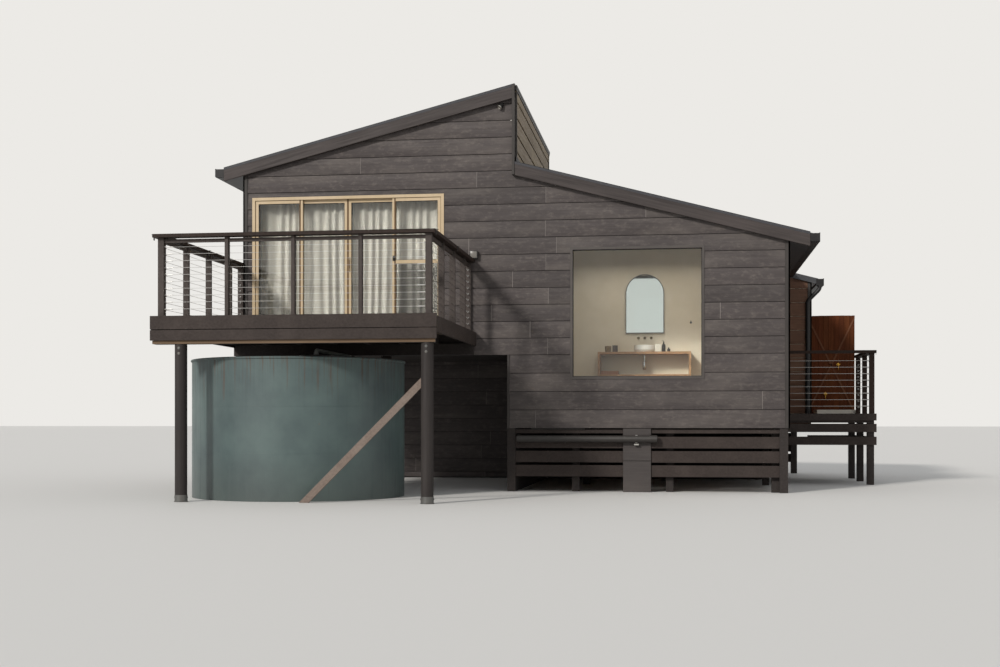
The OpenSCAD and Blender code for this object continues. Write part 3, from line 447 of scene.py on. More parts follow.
def coated(name, base, shade, rough, grit, dust="", relief=0.0002, metallic=0.0, shine=0.5):
    """A coated, moulded or cast surface: faint cloudy tone, fine grit and settled dust.

    grit is the number of grains in a metre. The real skin's grains are 0.1 to 1 mm, which wouldn't show, so
    they are drawn as 2 to 16 mm. The clouds are 0.45 m across, and the dust lies in spots of 75 mm.
    """
    material, tree, shader = new_material(name)
    place = add(tree, "TexCoord", out="Object")
    cloud = add(tree, "TexNoise", {"Vector": place, "Scale": 2.2, "Detail": 5.0, "Roughness": 0.6})
    fine = add(tree, "TexNoise", {"Vector": place, "Scale": grit, "Detail": 3.0, "Roughness": 0.6})
    share = add(tree, "ValToRGB", {0: cloud}, [(0.36, 0), (0.66, 1)])
    body = add(tree, "Mix", {0: share, 6: linear(shade), 7: linear(base)})
    if dust:
        spots = add(tree, "TexNoise", {"Vector": place, "Scale": 13.2, "Detail": 6.0, "Roughness": 0.7})
        share = add(tree, "ValToRGB", {0: spots}, [(0.5, 0), (0.72, 0.25)])
        body = add(tree, "Mix", {0: share, 6: body, 7: linear(dust)})
    gloss = add(tree, "MapRange", {
        0: fine, "From Min": 0.3, "From Max": 0.7, "To Min": rough - 0.05, "To Max": rough + 0.07})
    bump = add(tree, "Bump", {"Height": fine, "Strength": 0.5, "Distance": relief})
    feed(shader, {"Base Color": body, "Roughness": gloss, "Metallic": metallic, "Specular IOR Level": shine,
                  "Normal": bump})
    return material


def polished_metal(name, colour, rough):
    """Bare metal with fine drawn scratches, which are 3 mm apart so that they show."""
    material, tree, shader = new_material(name)
    fine = add(tree, "TexNoise", {
        "Vector": add(tree, "TexCoord", out="Object"), "Scale": 300.0, "Detail": 2.0, "Roughness": 0.6})
    gloss = add(tree, "MapRange", {
        0: fine, "From Min": 0.3, "From Max": 0.7, "To Min": rough * 0.8, "To Max": rough * 1.25})
    feed(shader, {"Base Color": linear(colour), "Roughness": gloss, "Metallic": 1.0})
    return material


def clear_glass(name, tint):
    """Flat glass that lets the lamps through, with a faint tint and a film of salt in patches of 0.3 m."""
    material, tree, shader = new_material(name)
    film = add(tree, "TexNoise", {
        "Vector": add(tree, "TexCoord", out="Object"), "Scale": 3.0, "Detail": 6.0, "Roughness": 0.7})
    rough = add(tree, "MapRange", {
        0: film, "From Min": 0.45, "From Max": 0.8, "To Min": 0.0, "To Max": 0.06})
    feed(shader, {"Base Color": linear(tint), "Roughness": rough, "Transmission Weight": 1.0, "IOR": 1.45})
    clear = add(tree, "BsdfTransparent", {"Color": (0.93, 0.95, 0.95, 1)})
    mix = add(tree, "MixShader", {
        0: add(tree, "LightPath", out="Is Shadow Ray"), 1: shader.outputs[0], 2: clear})
    feed(tree.nodes["Material Output"], {"Surface": mix})
    return material


def woven_mesh(name, colour):
    """Fine insect mesh that darkens what is behind it; its threads are drawn 4 mm apart so that they show."""
    material, tree, shader = new_material(name)
    threads = add(tree, "TexNoise", {
        "Vector": add(tree, "TexCoord", out="Object"), "Scale": 260.0, "Detail": 2.0})
    share = add(tree, "MapRange", {
        0: threads, "From Min": 0.3, "From Max": 0.7, "To Min": 0.20, "To Max": 0.30})
    feed(shader, {"Base Color": linear(colour), "Roughness": 0.7, "Alpha": share})
    return material


def sheer_cloth(name, dark, pale):
    """Sheer woven curtain with slub threads both ways, which are drawn 2.5 mm apart so that they show."""
    material, tree, shader = new_material(name)
    uv = add(tree, "UVMap")
    warp, weft = (add(tree, "TexNoise", {
        "Vector": add(tree, "Mapping", {"Vector": uv, "Scale": scale}), "Scale": 1.0, "Detail": 2.0})
        for scale in ((420, 3, 1), (3, 380, 1)))
    weave = add(tree, "Math", {0: warp, 1: weft}, operation="ADD")
    tone = add(tree, "ValToRGB", {0: weave}, [(0.75, linear(dark)), (1.0, linear(pale))])
    bump = add(tree, "Bump", {"Height": weave, "Strength": 0.3, "Distance": 0.0004})
    feed(shader, {"Base Color": tone, "Roughness": 0.85, "Sheen Weight": 0.25, "Alpha": 0.93, "Normal": bump})
    return material


def tank_enamel(name, dark, pale, grime, rust, bright_rust):
    """Pale enamel on steel, with rust that has run down from the rim in lines of 45 mm and spots of 0.1 m."""
    material, tree, shader = new_material(name)
    low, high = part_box("tank_shell")
    place = add(tree, "TexCoord", out="Object")
    x, y, z = add(tree, "SeparateXYZ", {0: place}).node.outputs
    middle = (low + high) / 2
    run_x, run_y = (add(tree, "Math", {0: a, 1: b}, operation="SUBTRACT") for a, b in zip((x, y), middle))
    turn = add(tree, "Math", {0: run_y, 1: run_x}, operation="ARCTAN2")
    round_run = add(tree, "Math", {0: turn, 1: (high.x - low.x) / 2}, operation="MULTIPLY")
    down = add(tree, "Math", {0: high.z, 1: z}, operation="SUBTRACT")
    wrap = add(tree, "CombineXYZ", {0: round_run, 1: down})
    long_run = add(tree, "Mapping", {"Vector": wrap, "Scale": (22, 0.7, 1)})
    drips = add(tree, "TexNoise", {"Vector": long_run, "Scale": 1.0, "Detail": 4.0, "Roughness": 0.6})
    spots = add(tree, "TexNoise", {"Vector": place, "Scale": 9.0, "Detail": 6.0, "Roughness": 0.7})
    cloud = add(tree, "TexNoise", {"Vector": place, "Scale": 1.2, "Detail": 4.0, "Roughness": 0.6})
    reach = add(tree, "MapRange", {0: down, "From Max": 0.75, "To Min": 0.19, "To Max": 0.0})
    drip_level = add(tree, "Math", {0: drips, 1: reach}, operation="ADD")
    splash = add(tree, "MapRange", {0: down, "From Min": 1.2, "From Max": 1.9, "To Min": 0.0, "To Max": 0.45})
    drip_share = add(tree, "ValToRGB", {0: drip_level}, [(0.68, 0), (0.82, 0.7)])
    spot_share = add(tree, "ValToRGB", {0: spots}, [(0.68, 0), (0.76, 0.6)])
    body = add(tree, "ValToRGB", {0: cloud}, [(0.35, linear(dark)), (0.65, linear(pale))])
    for share, colour in ((splash, grime), (drip_share, rust), (spot_share, bright_rust)):
        body = add(tree, "Mix", {0: share, 6: body, 7: linear(colour)})
    gloss = add(tree, "MapRange", {
        0: drip_level, "From Min": 0.5, "From Max": 0.85, "To Min": 0.42, "To Max": 0.85})
    dents = add(tree, "Math", {0: cloud, 1: 6.0, 2: spots}, operation="MULTIPLY_ADD")
    bump = add(tree, "Bump", {"Height": dents, "Strength": 0.35, "Distance": 0.002})
    feed(shader, {"Base Color": body, "Roughness": gloss, "Normal": bump})
    return material


def recolour(material, colour, where, multiply=False):
    """Gives a finish another colour where a function of the tree and its X, Y and Z outputs says 1."""
    tree = material.node_tree
    shader = tree.nodes["Principled BSDF"]
    place = add(tree, "SeparateXYZ", {0: add(tree, "TexCoord", out="Object")}).node.outputs
    body = shader.inputs["Base Color"].links[0].from_socket
    other = linear(colour)
    if multiply:
        other = add(tree, "Mix", {0: 1.0, 6: body, 7: other}, blend_type="MULTIPLY")
    feed(shader, {"Base Color": add(tree, "Mix", {0: where(tree, *place), 6: body, 7: other})})
    return material


def lined_wall(node, axis, limit, side):
    """A wall's core: near-black beyond a plane across X or Y and under the floors, else paint. The near-black
    is building paper and painted shade, so that the grooves between the boards and the space under the floors
    read dark.
    """
    lower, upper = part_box("lower_floor")[0].z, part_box("upper_floor")[0].z

    def paper_and_painted_shade(tree, x, y, z):
        outside = add(tree, "Math", {0: (x, y)[axis], 1: limit},
                      operation="GREATER_THAN" if side > 0 else "LESS_THAN")
        left = add(tree, "Math", {0: x, 1: UNDER_LOW.x}, operation="LESS_THAN")
        floor = add(tree, "MapRange", {0: left, "To Min": lower, "To Max": upper})
        under = add(tree, "Math", {0: z, 1: floor}, operation="LESS_THAN")
        return add(tree, "Math", {0: outside, 1: under}, operation="MAXIMUM")

    paint = coated("lined_" + node, "wall_colour", "#d2c5ae", 0.8, 140, relief=0.0004)
    # Near-black #262322 behind the boards and under the floors is painted shade for the board grooves and the
    # space under the house
    return recolour(paint, "#262322", paper_and_painted_shade)


def finish(name):
    """The finish of that name, made anew with the panel's colours."""
    kind, *values = FINISHES[name]
    changes = values.pop() if isinstance(values[-1], dict) else {}
    return kind(name, *values, **changes)


# Each finish with its kind, its values and what it changes; a colour without # is one of the panel's
FINISHES = {
    # Fibre-faced boards under charcoal stain: flat, with chalky spots and a slightly paler wear
    "charcoal_stained_weatherboard": (timber, "board_colour", "#383230", "#6e6660", {"bloom": 0.5}),
    # Narrow strips of bare fibre sheet: pale and chalky, each with a tone of its own
    "weathered_joint_strip": (
        timber, "#827a75", "#655e5a", "#948c86", {"relief": 0.0003, "tones": (0.62, 1.12)}),
    # The same boards under a red-brown stain: warm, with the grain clear under it
    "brown_stained_weatherboard": (timber, "wing_colour", "#4a2f21", "#7e6450", {"relief": 0.001}),
    # The same boards under a khaki stain: greener and paler, with little relief
    "khaki_stained_weatherboard": (timber, "step_colour", "#68593f", "#998b6c", {"relief": 0.0008}),
    # Softwood under a dark stain: flat, near black, with soft streaks where the grain shows through
    "dark_stained_timber": (
        timber, "#352c28", "#27201d", "#4a403b", {"run": "level", "patch": 0.35, "shine": 0.3}),
    # Sawn framing under old bitumen paint: rough and almost black
    "tarred_framing_timber": (timber, "#2a2320", "#1e1918", "#3d342e", {"run": "level", "rough": 0.8}),
    # The dark stain on upright pieces, with the grain running up
    "dark_stained_post": (timber, "#302b29", "#242020", "#433d3a", {"run": "z", "patch": 0.35, "shine": 0.3}),
    # The dark stain on planed trims: a little paler where it has worn at the edges
    "dark_stained_trim": (timber, "#332e2b", "#262321", "#4b4541", {"run": "z"}),
    # Hardwood handrail under dark oil: brown-black, with a low gloss on its top
    "dark_oiled_rail": (timber, "rail_colour", "#1b110c", "#3d2c22", {
        "run": "level", "rough": 0.62, "patch": 0.3, "shine": 0.25}),
    # The balcony's posts keep the walls' stain: charcoal with soft streaks
    "stained_rail_post": (
        timber, "#453d39", "#352f2c", "#574e49", {"run": "level", "patch": 0.35, "shine": 0.3}),
    # Oiled oak board: warm, fine straight grain and a satin face
    "oiled_oak": (timber, "#a57a50", "#8a633c", "#b68d64", {
        "run": "x", "rough": 0.5, "streak": 0.6, "patch": 0.3, "relief": 0.0005}),
    # Bare hardwood left to the weather: silvered brown with open checks
    "weathered_hardwood": (
        timber, "#7d6e64", "#5f534b", "#93877d", {"run": "level", "rough": 0.85, "relief": 0.002}),
    # Oiled floor boards: mid brown with a soft shine
    "oiled_floor_board": (timber, "#8a6844", "#6f5034", "#9b7a55", {"run": "level", "rough": 0.5}),
    # Hardwood decking: brown, silvered along its worn faces
    "weathered_deck_board": (timber, "deck_colour", "#52463d", "#8a7f76", {"rough": 0.8}),
    # Sawn hardwood without a coat: dry mid brown under the fascia's shadow
    "bare_hardwood_bearer": (timber, "#6d5741", "#55422f", "#857058", {"run": "x", "rough": 0.75}),
    # Flat sheet under dark stain, with a faint level grain
    "dark_stained_pier_sheet": (timber, "#3d3735", "#302b29", "#524b47", {"run": "x", "streak": 0.3}),
    # Painted softwood: the grain still shows under thin charcoal paint
    "charcoal_painted_barge": (timber, "#3f3836", "#2c2625", "#5d5350", {
        "rough": 0.6, "streak": 0.8, "patch": 0.3, "relief": 0.0008, "shine": 0.35}),
    # Rough-sawn hardwood under red-brown oil: deep colour and open grain
    "red_brown_rough_sawn_board": (
        timber, "screen_colour", "#361806", "#744420", {"rough": 0.78, "relief": 0.002, "shine": 0.2}),
    # Battens of the same wood, bleached a little by the sun
    "sun_bleached_batten": (
        timber, "#68402a", "#50301d", "#7f583f", {"run": "level", "rough": 0.8, "shine": 0.25}),
    # Oiled walnut: dark brown with a soft shine
    "dark_walnut_box": (timber, "#3f2c20", "#2c1e15", "#54402f", {"run": "x", "rough": 0.55}),
    # Stained pine slats: orange brown and even
    "pine_crate_slat": (timber, "#9a6238", "#7c4a28", "#b07c50", {"run": "x", "rough": 0.6}),

    # Colour-coated roofing steel: even charcoal with a film of dust
    "charcoal_roofing_steel": (coated, "#3a3b3f", "#333438", 0.45, 160, {"dust": "#6a6660"}),
    # Colour-coated corrugated steel, dulled by sun and salt
    "charcoal_corrugated_steel": (coated, "roof_colour", "#2d2d32", 0.6, 160, {"dust": "#5c5954"}),
    # Folded capping under near-black paint: satin, with dust on it
    "dark_roof_capping": (coated, "#24211f", "#1d1b19", 0.5, 160, {"dust": "#4a443e"}),
    # Folded gutter steel under factory paint: even, near black, satin
    "dark_gutter_steel": (coated, "#211f20", "#1a191a", 0.45, 160, {"dust": "#45413e", "shine": 0.3}),
    # The same paint on drawn downpipes, a little smoother
    "dark_downpipe_steel": (coated, "#211f20", "#1a191a", 0.43, 160, {
        "dust": "#45413e", "shine": 0.3}),
    # Powder-coated aluminium: even cream with a fine orange-peel skin
    "cream_powder_coated_aluminium": (
        coated, "frame_colour", "#bea884", 0.42, 420, {"dust": "#9c8a6c", "relief": 0.0001}),
    # The same coat on folded sills, dustier and a little duller
    "cream_coated_sill": (coated, "#c1ad8b", "#bfa883", 0.42, 420, {"dust": "#a8977a"}),
    # The same skin in dark bronze: it frames the large window with a quiet line
    "bronze_powder_coated_aluminium": (coated, "#4b4541", "#403b38", 0.45, 420, {"relief": 0.0001}),
    # Powder-coated track: warm white and even
    "white_powder_coated_track": (coated, "#d9d5cc", "#cfcabf", 0.4, 420),
    # Brush-painted plastic pipe: uneven low gloss
    "painted_waste_pipe": (coated, "#2f2b28", "#272422", 0.5, 120, {"dust": "#514b45"}),
    # Moulded pipe fittings under the same paint, a little paler where it is thin on their edges
    "painted_pipe_fitting": (coated, "#322e2b", "#2a2624", 0.5, 120, {"dust": "#5f5952"}),
    # Rolled wall paint: warm cream, matt, with the roller's faint stipple
    "cream_wall_paint": (coated, "wall_colour", "#d2c5ae", 0.75, 140, {"relief": 0.0004}),
    # Cast stone resin: pale, smooth and half matt
    "pale_cast_stone_resin": (coated, "#eae4d7", "#e0d9ca", 0.55, 260),
    # Glazed ceramic: smooth warm white with a clear highlight
    "glazed_white_ceramic": (coated, "#ebe8e1", "#e4e0d8", 0.12, 60, {"relief": 0.00005}),
    # Glazed waste cap: a grey spot that shines at the bowl's foot
    "glazed_basin_waste": (coated, "#8d8c88", "#7f7e7a", 0.2, 60),
    # Moulded bottle glass: almost black, with a long highlight
    "brown_bottle_glass": (coated, "#2b2420", "#221c19", 0.15, 60),
    # Glazed stoneware: soft white with a blurred highlight
    "pale_glazed_tumbler": (coated, "#ded8cc", "#d2cbbd", 0.35, 120),
    # Woven seagrass: dry, golden and rough
    "woven_seagrass": (coated, "#8d7346", "#6d5633", 0.85, 220, {"relief": 0.002}),
    # Black painted flat steel: a thin dark line with a satin edge
    "black_steel_frame": (coated, "#201f1f", "#191818", 0.4, 300),
    # Moulded nylon: deep black with a fine dull skin
    "black_nylon_handle": (coated, "#1e1d1d", "#171616", 0.45, 500),
    # Bronze-coated metal pull with a soft gloss
    "bronze_coated_pull": (coated, "#6d563b", "#5c4832", 0.4, 500),
    # Woven pile and painted shadow: a dull brown line where the door's members meet, widened where the
    # recessed sashes lie in shade
    "brown_pile_seal": (coated, "#6f563b", "#5b452e", 0.9, 400),
    # Extruded rubber: dark and dull, it draws a line round each pane
    "black_glazing_rubber": (coated, "#232121", "#1c1b1b", 0.6, 300),
    # Zinc plate on a screw's cap: a pale, slightly cloudy spot
    "zinc_plated_screw_cap": (coated, "#c2beb6", "#b2aea6", 0.4, 200),
    # Zinc plate on a folded clip: pale grey, half metallic
    "zinc_plated_clip": (coated, "#b3b1ab", "#a19f99", 0.4, 200, {"metallic": 0.4}),
    # Galvanised steel under black paint: dull, with dust in its corners
    "black_galvanised_bracket": (coated, "#262424", "#1e1c1c", 0.5, 200, {"dust": "#4f4843"}),
    # Bare galvanised steel: mid grey, half metallic, with brown stains
    "weathered_galvanised_steel": (
        coated, "#6f6f6c", "#5f5f5d", 0.5, 160, {"dust": "#7a5a42", "metallic": 0.6}),
    # Moulded plastic: even black, dusty on top
    "black_moulded_plastic": (coated, "#222222", "#1a1a1a", 0.5, 200, {"dust": "#4a4641"}),
    # Unpainted plastic pipe: pale grey, greyed more by dust
    "pale_moulded_pipe": (coated, "#8d8f8b", "#7f817d", 0.45, 160, {"dust": "#6a6258"}),
    # Cast aluminium under black paint: fine grit and settled dust
    "black_cast_aluminium_lamp": (coated, "#242323", "#1c1b1b", 0.42, 300, {"dust": "#4f4a45"}),
    # Frosted glass of an unlit lamp: mid grey, with a soft highlight
    "frosted_lamp_glass": (coated, "#76726c", "#6a665f", 0.3, 200),

    # Silvered glass: a clear and faintly green image
    "silvered_mirror": (polished_metal, "#dfe3e1", 0.04),
    # Stranded stainless wire: bright lines where it turns to the light
    "stainless_wire": (polished_metal, "#b9b8b6", 0.32),
    # Pressed stainless sheet: bright and slightly blurred
    "stainless_waste": (polished_metal, "#b5b4b1", 0.3),
    # Aged brass: warm and slightly dull
    "aged_brass": (polished_metal, "#b8924a", 0.3),
    # Unlacquered brass: warm yellow with soft highlights
    "unlacquered_brass": (polished_metal, "#c79a45", 0.28),
    # Brushed bronze: dark, warm, with short highlights
    "brushed_dark_bronze": (polished_metal, "#6b5a3c", 0.32),
    # Chromed brass: near mirror bright
    "chromed_brass": (polished_metal, "#c9cacb", 0.12),
    # Bare bright rim that catches the light
    "bright_lamp_rim": (polished_metal, "#d3d0c8", 0.2),
    # Float glass: clear, with a faint film of salt that breaks up its shine
    "clear_float_glass": (clear_glass, "#f4f8f7"),
    # Woven fibreglass: a grey veil over what is behind it
    "woven_fibreglass_insect_mesh": (woven_mesh, "#26272a"),
    # Sheer polyester weave: soft warm grey, with a little light through it
    "sheer_woven_polyester": (sheer_cloth, "#918a82", "#a9a299"),
    # Enamel on sheet steel: cloudy sea green, half glossy, with brown runs
    "sea_green_enamelled_steel": (tank_enamel, "#445253", "tank_colour", "#474a44", "#5c4030", "#7a5034"),
}

# The finish of each CAD node that stays in sight
NODE_FINISHES = {
    "dark_stained_timber": ("balcony_fascia", "side_deck_frame", "skirt_slats", "pier_panel"),
    "tarred_framing_timber": ("balcony_frame", "stumps", "upper_floor"),
    "red_brown_rough_sawn_board": ("screen",),
    "dark_stained_post": ("balcony_posts",),
    "dark_oiled_rail": ("side_rail_front", "side_rail_right"),
    "weathered_hardwood": ("brace",),
    "oiled_floor_board": ("lower_floor",),
    "silvered_mirror": ("mirror",),
    "charcoal_roofing_steel": ("high_roof", "low_roof", "wing_roof", "barge_boards"),
    "dark_gutter_steel": ("gutters", "downpipes", "outside_lamps"),
    "cream_powder_coated_aluminium": ("sliding_door_frame", "sliding_door_sashes", "plain_window_frames"),
    "bronze_powder_coated_aluminium": ("picture_window_frame",),
    "painted_waste_pipe": ("waste_pipe",),
    "cream_wall_paint": ("bathroom_wall",),
    "pale_cast_stone_resin": ("shower_tray",),
    "stainless_wire": ("balcony_wires", "side_deck_wires"),
    "aged_brass": ("shower_taps",),
    "glazed_white_ceramic": ("basin",),
    "clear_float_glass": ("sliding_door_glass", "picture_window_glass", "plain_window_glass"),
    "sea_green_enamelled_steel": ("tank_shell", "tank_roof"),
}


# Boards on walls and roofs

def weatherboard(cover):
    """One lapped board, 1 m long from X 0, back on Y 0 and face towards -Y: thick at its lower edge."""
    s = settings()
    board = block("weatherboard", (0, -s.board_thick, 0), (1, 0, cover - s.board_groove))
    pick(board, "VERT", lambda v: v.co.z > cover / 2 and v.co.y < -s.board_thick / 2)
    bpy.ops.transform.translate(value=(0, s.board_thick - s.board_thin, 0))
    lone()
    return bevel(board, 0.0025, 2, lambda e: all(
        v.co.z < 0.01 and v.co.y < -s.board_thick / 2 for v in e.verts))


def stamp(obj, along, rng):
    """Writes the coordinates that the grain follows, and the board's own tone, on a mesh."""
    shift = Vector((rng.uniform(0, 40), rng.uniform(0, 40), rng.uniform(0, 40)))
    tone = rng.random()
    across = (Z - along * along.z).normalized() if abs(along.z) < 0.5 else along.orthogonal().normalized()
    out = along.cross(across)
    vertices = obj.data.vertices
    places = [c for v in vertices for c in Vector((v.co.dot(along), v.co.dot(across), v.co.dot(out))) + shift]
    for name, kind, key, values in (
            ("grain", "FLOAT_VECTOR", "vector", places), ("tone", "FLOAT", "value", [tone] * len(vertices))):
        if name not in obj.data.attributes:
            obj.data.attributes.new(name, kind, "POINT")
        obj.data.attributes[name].data.foreach_set(key, values)


def clad(facing, plane, span, courses, openings=(), planes=(), joints=None, seed=1):
    """Weatherboards on one upright wall, as a list of boards and a list of the strips over their joints.

    facing is the level direction that the boards face, plane the wall face's place on that axis, span the
    boards' range along the wall, courses the heights of the boards' lower edges and of the last one's top,
    openings boxes (a0, a1, z0, z1) that stay open, planes (point, normal) that cut the boards off,
    and joints the places of the butt joints of each course, or None where they fall anywhere.
    """
    s = settings()
    rng = random.Random(seed)
    facing = Vector(facing)
    along = X if abs(facing.y) > 0.5 else Y
    base = facing * facing.dot(X + Y) * plane
    start, end = span
    covers = {}
    boards, strips = [], []
    for number, (z0, z1) in enumerate(zip(courses, courses[1:])):
        cover = round(z1 - z0, 4)
        if cover not in covers:
            covers[cover] = weatherboard(cover)
        if joints is None:
            cuts, at = [], start + rng.uniform(0.6, s.board_length)
            while at < end - 0.3:
                cuts.append(at)
                at += s.board_length * rng.uniform(0.86, 1.0)
        else:
            cuts = [c for c in joints.get(number, ()) if start < c < end]
        for a, b in zip([start, *cuts], [*cuts, end]):
            for a0, a1 in clear_runs(a, b, z0, z1, openings):
                board = laid(covers[cover], base + along * a0 + Z * z0, along, -facing, a1 - a0)
                for o0, o1, p0, p1 in openings:
                    whole = p0 <= z0 + 0.001 and p1 >= z1 - 0.001
                    if not whole and o0 < a1 and o1 > a0 and p0 < z1 and p1 > z0:
                        subtract_block(board, base + along * o0 + Z * p0 - facing * 0.1,
                                       base + along * o1 + Z * p1 + facing * 0.1)
                if trimmed(board, planes, 5):
                    stamp(board, along, rng)
                    boards.append(board)
        for cut in cuts:
            if any(o[0] - 0.01 < cut < o[1] + 0.01 and o[2] < z1 and o[3] > z0 for o in openings):
                continue
            strip = block("strip", base + along * (cut - s.strip_width / 2) + Z * (z0 + 0.004),
                          base + along * (cut + s.strip_width / 2) + Z * (z1 - 0.006) + facing * s.board_thin)
            pick(strip, "VERT", lambda v, z=z0: v.co.z < z + 0.1 and (v.co - base).dot(facing) > 0.004)
            bpy.ops.transform.translate(value=facing * (s.board_thick - s.board_thin + 0.001))
            lone()
            if trimmed(strip, planes, 6):
                stamp(strip, Z, rng)
                strips.append(strip)
    remove(*covers.values())
    return boards, strips


def clear_runs(a, b, z0, z1, openings):
    """The parts of a board from a to b that no opening takes away over the whole height."""
    runs = [(a, b)]
    for o0, o1, p0, p1 in openings:
        if p0 <= z0 + 0.001 and p1 >= z1 - 0.001:
            runs = [part for r0, r1 in runs for part in ((r0, min(r1, o0)), (max(r0, o1), r1))]
            runs = [(r0, r1) for r0, r1 in runs if r1 - r0 > 0.004]
    return runs


def subtract_block(obj, a, b):
    """Cuts a box between two opposite corners out of obj."""
    cutter = block("cutter", a, b)
    modifier = obj.modifiers.new("cut", "BOOLEAN")
    modifier.operation = "DIFFERENCE"
    modifier.solver = "EXACT"
    modifier.object = cutter
    apply_modifiers(obj)
    remove(cutter)


def trimmed(obj, planes, least):
    """Cuts obj off at the planes, and removes it and says False if fewer than the least faces are left."""
    for point, normal in planes:
        if any((v.co - point).dot(normal) > 1e-5 for v in obj.data.vertices):
            cut_off(obj, point, normal)
    if len(obj.data.polygons) < least:
        remove(obj)
        return False
    return True


def roof_plane(node, top=False):
    """A point and an upward normal of a sloping roof's underside or top, read from its mesh."""
    points = [v.co for v in NODES[node].data.vertices]
    low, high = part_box(node)
    best = max if top else min
    ends = [best(p.z for p in points if abs(p.x - x) < 1e-4) for x in (low.x, high.x)]
    normal = Vector((ends[0] - ends[1], 0, high.x - low.x)).normalized()
    return Vector((low.x, 0, ends[0])), normal


def roof_top(node, x):
    """Height of a roof plate's top at x."""
    point, normal = roof_plane(node, top=True)
    return point.z - (x - point.x) * normal.x / normal.z


def level_plane(z):
    """A level plane that cuts boards off at a height."""
    return Vector((0, 0, z)), Z


def courses_from(z0, z1, cover):
    """Heights of the boards' lower edges from z0 on, the last one past z1."""
    return [z0 + i * cover for i in range(math.ceil((z1 - z0) / cover - 1e-6) + 1)]


def plain_openings(axis, low, high):
    """Boxes (a0, a1, z0, z1) of the plain windows and doors that lie between two values of an axis."""
    return [(a[1 - axis], b[1 - axis], a.z, b.z) for a, b in solids("plain_window_frames")
            if a[axis] > low - 0.05 and b[axis] < high + 0.05]


class BEACHHOUSE_OT_stage(bpy.types.Operator):
    """Makes the pale floor, the lamps, the pale surroundings and the camera"""
    bl_idname = "beach_house.stage"
    bl_label = "Stage and camera"

    def execute(self, context):
        lone()
        bpy.ops.mesh.primitive_plane_add(size=600, location=(0, 0, -0.002))
        floor = made("floor")
        # Matt painted studio floor: pale, so that the dark house stands clear of it
        material, _, shader = new_material("pale_studio_floor")
        feed(shader, {"Base Color": linear("#d9d7d3"), "Roughness": 0.9})
        floor.data.materials.append(material)

        lone()
        bpy.ops.object.light_add(type="SUN", location=(-12, -20, 18))
        sun = context.object
        sun.name = "key_lamp"
        sun.rotation_euler = Vector((0.58, 1.0, -0.62)).to_track_quat("-Z", "Y").to_euler()
        sun.data.energy = 2.3
        sun.data.angle = math.radians(7)
        sun.data.color = (1.0, 0.965, 0.92)

        world = bpy.data.worlds.new("studio")
        context.scene.world = world
        world.use_nodes = True
        tree = world.node_tree
        plain = tree.nodes["Background"]
        feed(plain, {"Color": (0.93, 0.96, 1.0, 1), "Strength": 0.55})
        seen = add(tree, "Background", {"Color": linear("#eceae6"), "Strength": 1.0})
        rays = add(tree, "LightPath", out="Is Camera Ray")
        for kind in ("Is Glossy Ray", "Is Transmission Ray"):
            rays = add(tree, "Math", {0: rays, 1: add(tree, "LightPath", out=kind)}, operation="MAXIMUM")
        mix = add(tree, "MixShader", {0: rays, 1: plain.outputs[0], 2: seen})
        feed(tree.nodes["World Output"], {"Surface": mix})

        # The photo's camera: focal length 1.33 picture widths, the horizon 0.0885 of them below the middle
        lone()
        bpy.ops.object.camera_add(location=(2.545, -19.89, 1.04), rotation=(math.pi / 2, 0, math.radians(7.8)))
        camera = context.object
        camera.name = "camera"
        camera.data.lens = 47.88
        camera.data.sensor_width = 36
        camera.data.shift_y = 0.0885
        camera.data.clip_end = 500
        context.scene.camera = camera
        context.scene.view_settings.view_transform = "Standard"

        # A soft lamp in the bathroom, which its own window lights in the photograph
        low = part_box("bathroom_wall")[0]
        lone()
        bpy.ops.object.light_add(type="AREA", location=(WINDOW_HIGH.x - 0.9, low.y * 0.55, LOW_ROOF_LOW.z))
        lamp = context.object
        lamp.name = "bathroom_lamp"
        lamp.data.shape = "RECTANGLE"
        lamp.data.size, lamp.data.size_y = 2.2, 1.0
        lamp.data.energy = 14
        lamp.data.color = (1.0, 0.94, 0.86)
        lamp.visible_camera = lamp.visible_glossy = lamp.visible_transmission = False
        return {"FINISHED"}


class BEACHHOUSE_OT_frame_finishes(bpy.types.Operator):
    """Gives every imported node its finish"""
    bl_idname = "beach_house.frame_finishes"
    bl_label = "Frame finishes"

    def execute(self, context):
        rail_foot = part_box("balcony_rail_front")[1].z - 0.05
        vanity_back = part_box("vanity")[1].y - 0.0365

        def on_top(tree, x, y, z):
            return add(tree, "Math", {0: z, 1: rail_foot}, operation="GREATER_THAN")

        def behind(tree, x, y, z):
            return add(tree, "Math", {0: y, 1: vanity_back}, operation="GREATER_THAN")

        found = {node: finish(name) for name, nodes in NODE_FINISHES.items() for node in nodes}
        # The oiled handrail on the balcony's posts, and the painted wall at the back of the open oak box
        rails = recolour(finish("stained_rail_post"), "#9d806e", on_top, multiply=True)
        found["balcony_rail_front"] = found["balcony_rail_sides"] = rails
        found["vanity"] = recolour(finish("oiled_oak"), "#d5c7af", behind)
        for node, axis, limit, side in (
                ("front_wall", 1, 0.0, -1), ("left_wall", 0, LEFT + HALF, -1),
                ("right_wall", 0, RIGHT - HALF, 1), ("back_wall", 1, BACK - HALF, 1),
                ("clerestory_wall", 0, HALF / 2, 1), ("undercroft_wall", 0, 0.0, -1),
                ("wing_walls", 1, WING_HIGH.y - HALF, 1)):
            found[node] = lined_wall(node, axis, limit, side)
        for node, material in found.items():
            NODES[node].material_slots[0].material = material
        return {"FINISHED"}


